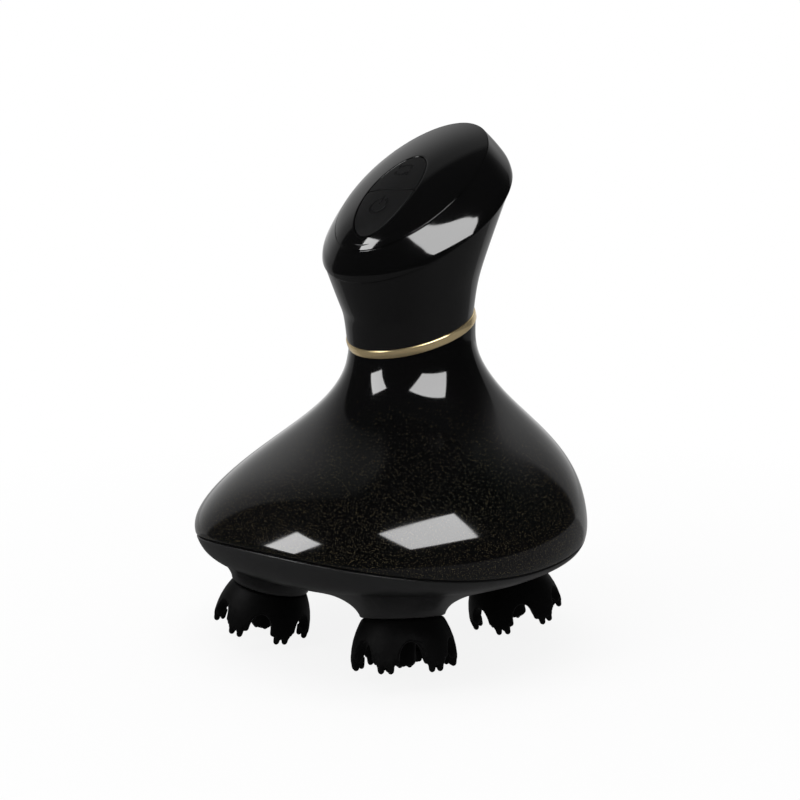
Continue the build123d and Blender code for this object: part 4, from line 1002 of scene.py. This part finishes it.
# %% Camera
AZIMUTH, ELEVATION, ROLL, DISTANCE, SIDE_SHIFT, RISE = 39.02, 6.84, -0.57, 300.35, 2.63, 60.09
a, e, r = radians(AZIMUTH), radians(ELEVATION), radians(ROLL)
back = Vector((sin(a) * cos(e), -cos(a) * cos(e), sin(e)))
right = Vector((cos(a), sin(a), 0))
above = back.cross(right)
camera_right, camera_up = right * cos(r) + above * sin(r), above * cos(r) - right * sin(r)
camera = bpy.data.objects.new("product_camera", bpy.data.cameras.new("product_camera"))
bpy.context.scene.collection.objects.link(camera)
camera.data.lens, camera.data.sensor_width = 50.0, 36.0
camera.data.clip_start, camera.data.clip_end = 0.01, 50
eye = Vector((0, 0, TIP_LIFT)) + camera_right * SIDE_SHIFT + camera_up * RISE + back * DISTANCE
camera.matrix_world = Matrix.Translation(eye * MM) @ Matrix(
    (camera_right, camera_up, back)).transposed().to_4x4()
bpy.context.scene.camera = camera
bpy.context.scene.view_settings.view_transform = "Standard"
print("Camera at", [round(v, 1) for v in eye], "mm")

# %% [markdown]
# ## A white studio that black gloss can live in
# Black lacquer has almost no colour of its own: what it shows is the room. The room is white to anyone who
# looks at it, and dimmer where it only sheds light, so the surroundings stay pure white and the shadows stay
# soft. The floor does the same with a material of its own. Near the object a small part of its brightness
# comes from the lamps, so it can hold a shadow. Further out it shines by itself and runs into the white.

# %% World and floor
FILL_LIGHT, PAPER, FLOOR_REACH = 0.55, 0.90, 40
NEAR, FAR, NEAR_SHARE = 0.08, 0.35, 0.88


def looked_at(tree):
    """1 for rays that look at something and 0 for rays that only gather light."""
    ray = tree.nodes.new("ShaderNodeLightPath")
    seen = ray.outputs["Is Camera Ray"]
    for kind in ("Is Glossy Ray", "Is Transmission Ray"):
        seen = maths(tree, "ADD", seen, ray.outputs[kind], clamp=True)
    return seen


world = bpy.context.scene.world or bpy.data.worlds.new("studio")
bpy.context.scene.world = world
world.use_nodes = True
sky = world.node_tree
sky.nodes.clear()
level = remap(sky, looked_at(sky), FILL_LIGHT, 1.0, 0.0, 1.0)
backdrop = node(sky, "ShaderNodeBackground", Color=(1, 1, 1, 1), Strength=level)
sky.links.new(backdrop.outputs[0], sky.nodes.new("ShaderNodeOutputWorld").inputs["Surface"])

floor = bpy.data.objects.new("floor", bpy.data.meshes.new("floor"))
corners = [(x * FLOOR_REACH, y * FLOOR_REACH, 0) for x, y in ((-1, -1), (1, -1), (1, 1), (-1, 1))]
floor.data.from_pydata(corners, [], [(0, 1, 2, 3)])
bpy.context.scene.collection.objects.link(floor)
paper = bpy.data.materials.new("white_paper")
paper.use_nodes = True
sheet = paper.node_tree
sheet.nodes.clear()
lit = node(sheet, "ShaderNodeBsdfDiffuse", Color=(PAPER, PAPER, PAPER, 1))
own = node(sheet, "ShaderNodeEmission", Color=(1, 1, 1, 1), Strength=1.0)
where = sheet.nodes.new("ShaderNodeTexCoord").outputs["Object"]
away = node(sheet, "ShaderNodeVectorMath", {"operation": "LENGTH"}, i0=where).outputs["Value"]
share = maths(sheet, "MULTIPLY", looked_at(sheet), remap(sheet, away, NEAR_SHARE, 1.0, NEAR, FAR))
mixed = node(sheet, "ShaderNodeMixShader", i0=share, i1=lit.outputs[0], i2=own.outputs[0])
sheet.links.new(mixed.outputs[0], sheet.nodes.new("ShaderNodeOutputMaterial").inputs["Surface"])
floor.data.materials.append(paper)
print("World and floor:", 2 * FLOOR_REACH, "m of white paper")

# %% [markdown]
# ## Boards that only reflections see
# White surroundings would wash the lacquer out. In a studio, dark screens in front and overhead keep its
# middle deep black. Here the screens are boards that glow faintly or strongly by themselves. They are seen by
# reflections only, so they shade nothing and hide nothing. Each corner of a board's grid carries its own
# brightness as a mesh attribute, and the material reads it, so a screen can end softly.

# %% A board, and directions in the room
ROOM_RADIUS, ROOM_CENTRE = 2500.0, (0.0, 0.0, 70.0)


def board(name, corners, brightness):
    """A board through these corners, in millimetres, that shows in reflections and nowhere else.

    brightness is one number, or one number for each corner.
    """
    columns = len(corners[0])
    mesh = bpy.data.meshes.new(name)
    faces = [(r * columns + c, r * columns + c + 1, (r + 1) * columns + c + 1, (r + 1) * columns + c)
             for r in range(len(corners) - 1) for c in range(columns - 1)]
    mesh.from_pydata([tuple(v * MM for v in point) for row in corners for point in row], [], faces)
    glow = np.broadcast_to(brightness, (len(corners), columns)).astype(np.float32)
    mesh.attributes.new("glow", "FLOAT", "POINT").data.foreach_set("value", glow.ravel())
    card = bpy.data.objects.new(name, mesh)
    bpy.context.scene.collection.objects.link(card)
    felt = bpy.data.materials.new(name)
    felt.use_nodes = True
    tree = felt.node_tree
    tree.nodes.clear()
    level = node(tree, "ShaderNodeAttribute", {"attribute_name": "glow"}).outputs["Fac"]
    shine = node(tree, "ShaderNodeEmission", Color=(1, 1, 1, 1), Strength=level)
    tree.links.new(shine.outputs[0], tree.nodes.new("ShaderNodeOutputMaterial").inputs["Surface"])
    mesh.materials.append(felt)
    card.visible_camera = card.visible_diffuse = card.visible_shadow = card.visible_transmission = False
    print(f"{name}: {len(faces)} faces, brightness {glow.min():.2f} to {glow.max():.2f}")


def towards(azimuth, height, distance=ROOM_RADIUS):
    """The point that far away in a direction; azimuth 0 is in front of the keys and 90 to their right."""
    az, el = radians(azimuth), radians(height)
    way = sin(az) * cos(el), -cos(az) * cos(el), sin(el)
    return tuple(middle + distance * v for middle, v in zip(ROOM_CENTRE, way))


def ramp(value, low, high):
    """0 below one value, 1 above the other, and an eased rise between them."""
    share = np.clip((value - low) / (high - low), 0, 1)
    return share * share * (3 - 2 * share)


# %% [markdown]
# ## The brightness of the room and the table
# One large curved board stands for the room and one flat board for the table. A short formula gives the
# brightness in each direction: almost black in front and overhead, and pale behind the object, where grazing
# reflections draw its outline. Two soft bright spots lift the outline where it would be lost.

# %% How bright the room and the table are
DARK, PALE, TABLE_GLOW, TABLE_SIDE, TABLE_BACK = 0.02, 0.38, 0.13, 0.06, 0.30
BACKLIGHT, BACKLIGHT_SPREAD, BACKLIGHT_GLOW = (-141, -2), (30, 15), 0.65
CROWN, CROWN_SPREAD, CROWN_GLOW = (-168, 48), (22, 13), 0.85


def behind(az):
    """1 behind the object and 0 in front of it, fading where the dark screens end."""
    left = 0.45 * ramp(-az, 85, 87.5) + 0.55 * ramp(-az, 88, 112)
    turn = az % 360
    right = (0.65 * ramp(turn, 164, 167) + 0.35 * ramp(turn, 166, 186)) * ramp(-turn, -255, -205)
    return np.maximum(left, right)


def bright_spot(az, el, middle, spread, glow):
    """A soft round spot in the room, brightest in the direction of its middle."""
    across = (az - middle[0] + 180) % 360 - 180
    return glow * np.exp(-(across / spread[0]) ** 2 - ((el - middle[1]) / spread[1]) ** 2)


def room_glow(az, el):
    """Brightness of the room in a direction: dark in front and overhead, pale behind, two bright spots."""
    screens = behind(az) * (0.30 * ramp(-el, -67, -65) + 0.70 * ramp(-el, -60, -30))
    return (DARK + PALE * screens + bright_spot(az, el, BACKLIGHT, BACKLIGHT_SPREAD, BACKLIGHT_GLOW)
            + bright_spot(az, el, CROWN, CROWN_SPREAD, CROWN_GLOW))


azimuths, heights = np.linspace(-180, 180, 241), np.linspace(-2, 90, 47)
board("dark_room", [[towards(az, el) for az in azimuths] for el in heights],
      room_glow(azimuths[None, :], heights[:, None]))
reaches = np.array([0.0, 40, 60, 80, 100, 130, 170, 230, 400, 1000, 2600])
table_glow = TABLE_GLOW + TABLE_SIDE * ramp(azimuths, 10, 90) + TABLE_BACK * behind(azimuths)
shaded = 0.80 + 0.20 * ramp(reaches, 40, 200)
board("dark_table", [[(reach * sin(radians(az)), -reach * cos(radians(az)), 0.3) for az in azimuths]
                     for reach in reaches], table_glow[None, :] * shaded[:, None])

# %% [markdown]
# ## Two windows
# Two bright boards leave the crisp light shapes in the lacquer. They are skewed, because a mirror bent in two
# directions skews them back. One hangs close to the object on the right, the other further off on the left.

# %% Two windows
WINDOW_GLOW = 11.0


def window(name, centre, across, upright):
    """A bright board with four corners, given by its middle and its two edges."""
    c, u, v = (np.array(part, float) for part in (centre, across, upright))
    board(name, [[c - u / 2 - v / 2, c + u / 2 - v / 2], [c - u / 2 + v / 2, c + u / 2 + v / 2]], WINDOW_GLOW)


window("window_right", (79, -53, 170), (54, 84, 4), (-62, 6, 42))
window("window_left", towards(-37, 33, 500), (115, -87, 0), (62, 83, 160))

# %% [markdown]
# ## Lamps
# The matt parts need light too, or the claws would be flat black shapes. Two large soft lamps light them from
# above and from the front. They are hidden from reflections, so the lacquer shows the boards only.

# %% Lamps
LAMP_AIM = Vector((0, 0, 0.07))


def lamp(name, direction, distance, size, watts):
    """A square soft lamp that lights the piece but leaves no shape of its own in the lacquer."""
    light = bpy.data.lights.new(name, "AREA")
    light.size, light.energy = size, watts
    box = bpy.data.objects.new(name, light)
    bpy.context.scene.collection.objects.link(box)
    spot = Vector(towards(*direction, distance)) * MM
    facing = (spot - LAMP_AIM).to_track_quat("Z", "Y")
    box.matrix_world = Matrix.Translation(spot) @ facing.to_matrix().to_4x4()
    box.visible_glossy = False
    print(f"{name}: {watts} W")


lamp("top_lamp", (20, 80), 1200, 0.9, 6.5)
lamp("front_lamp", (-20, 35), 1300, 0.7, 3.5)
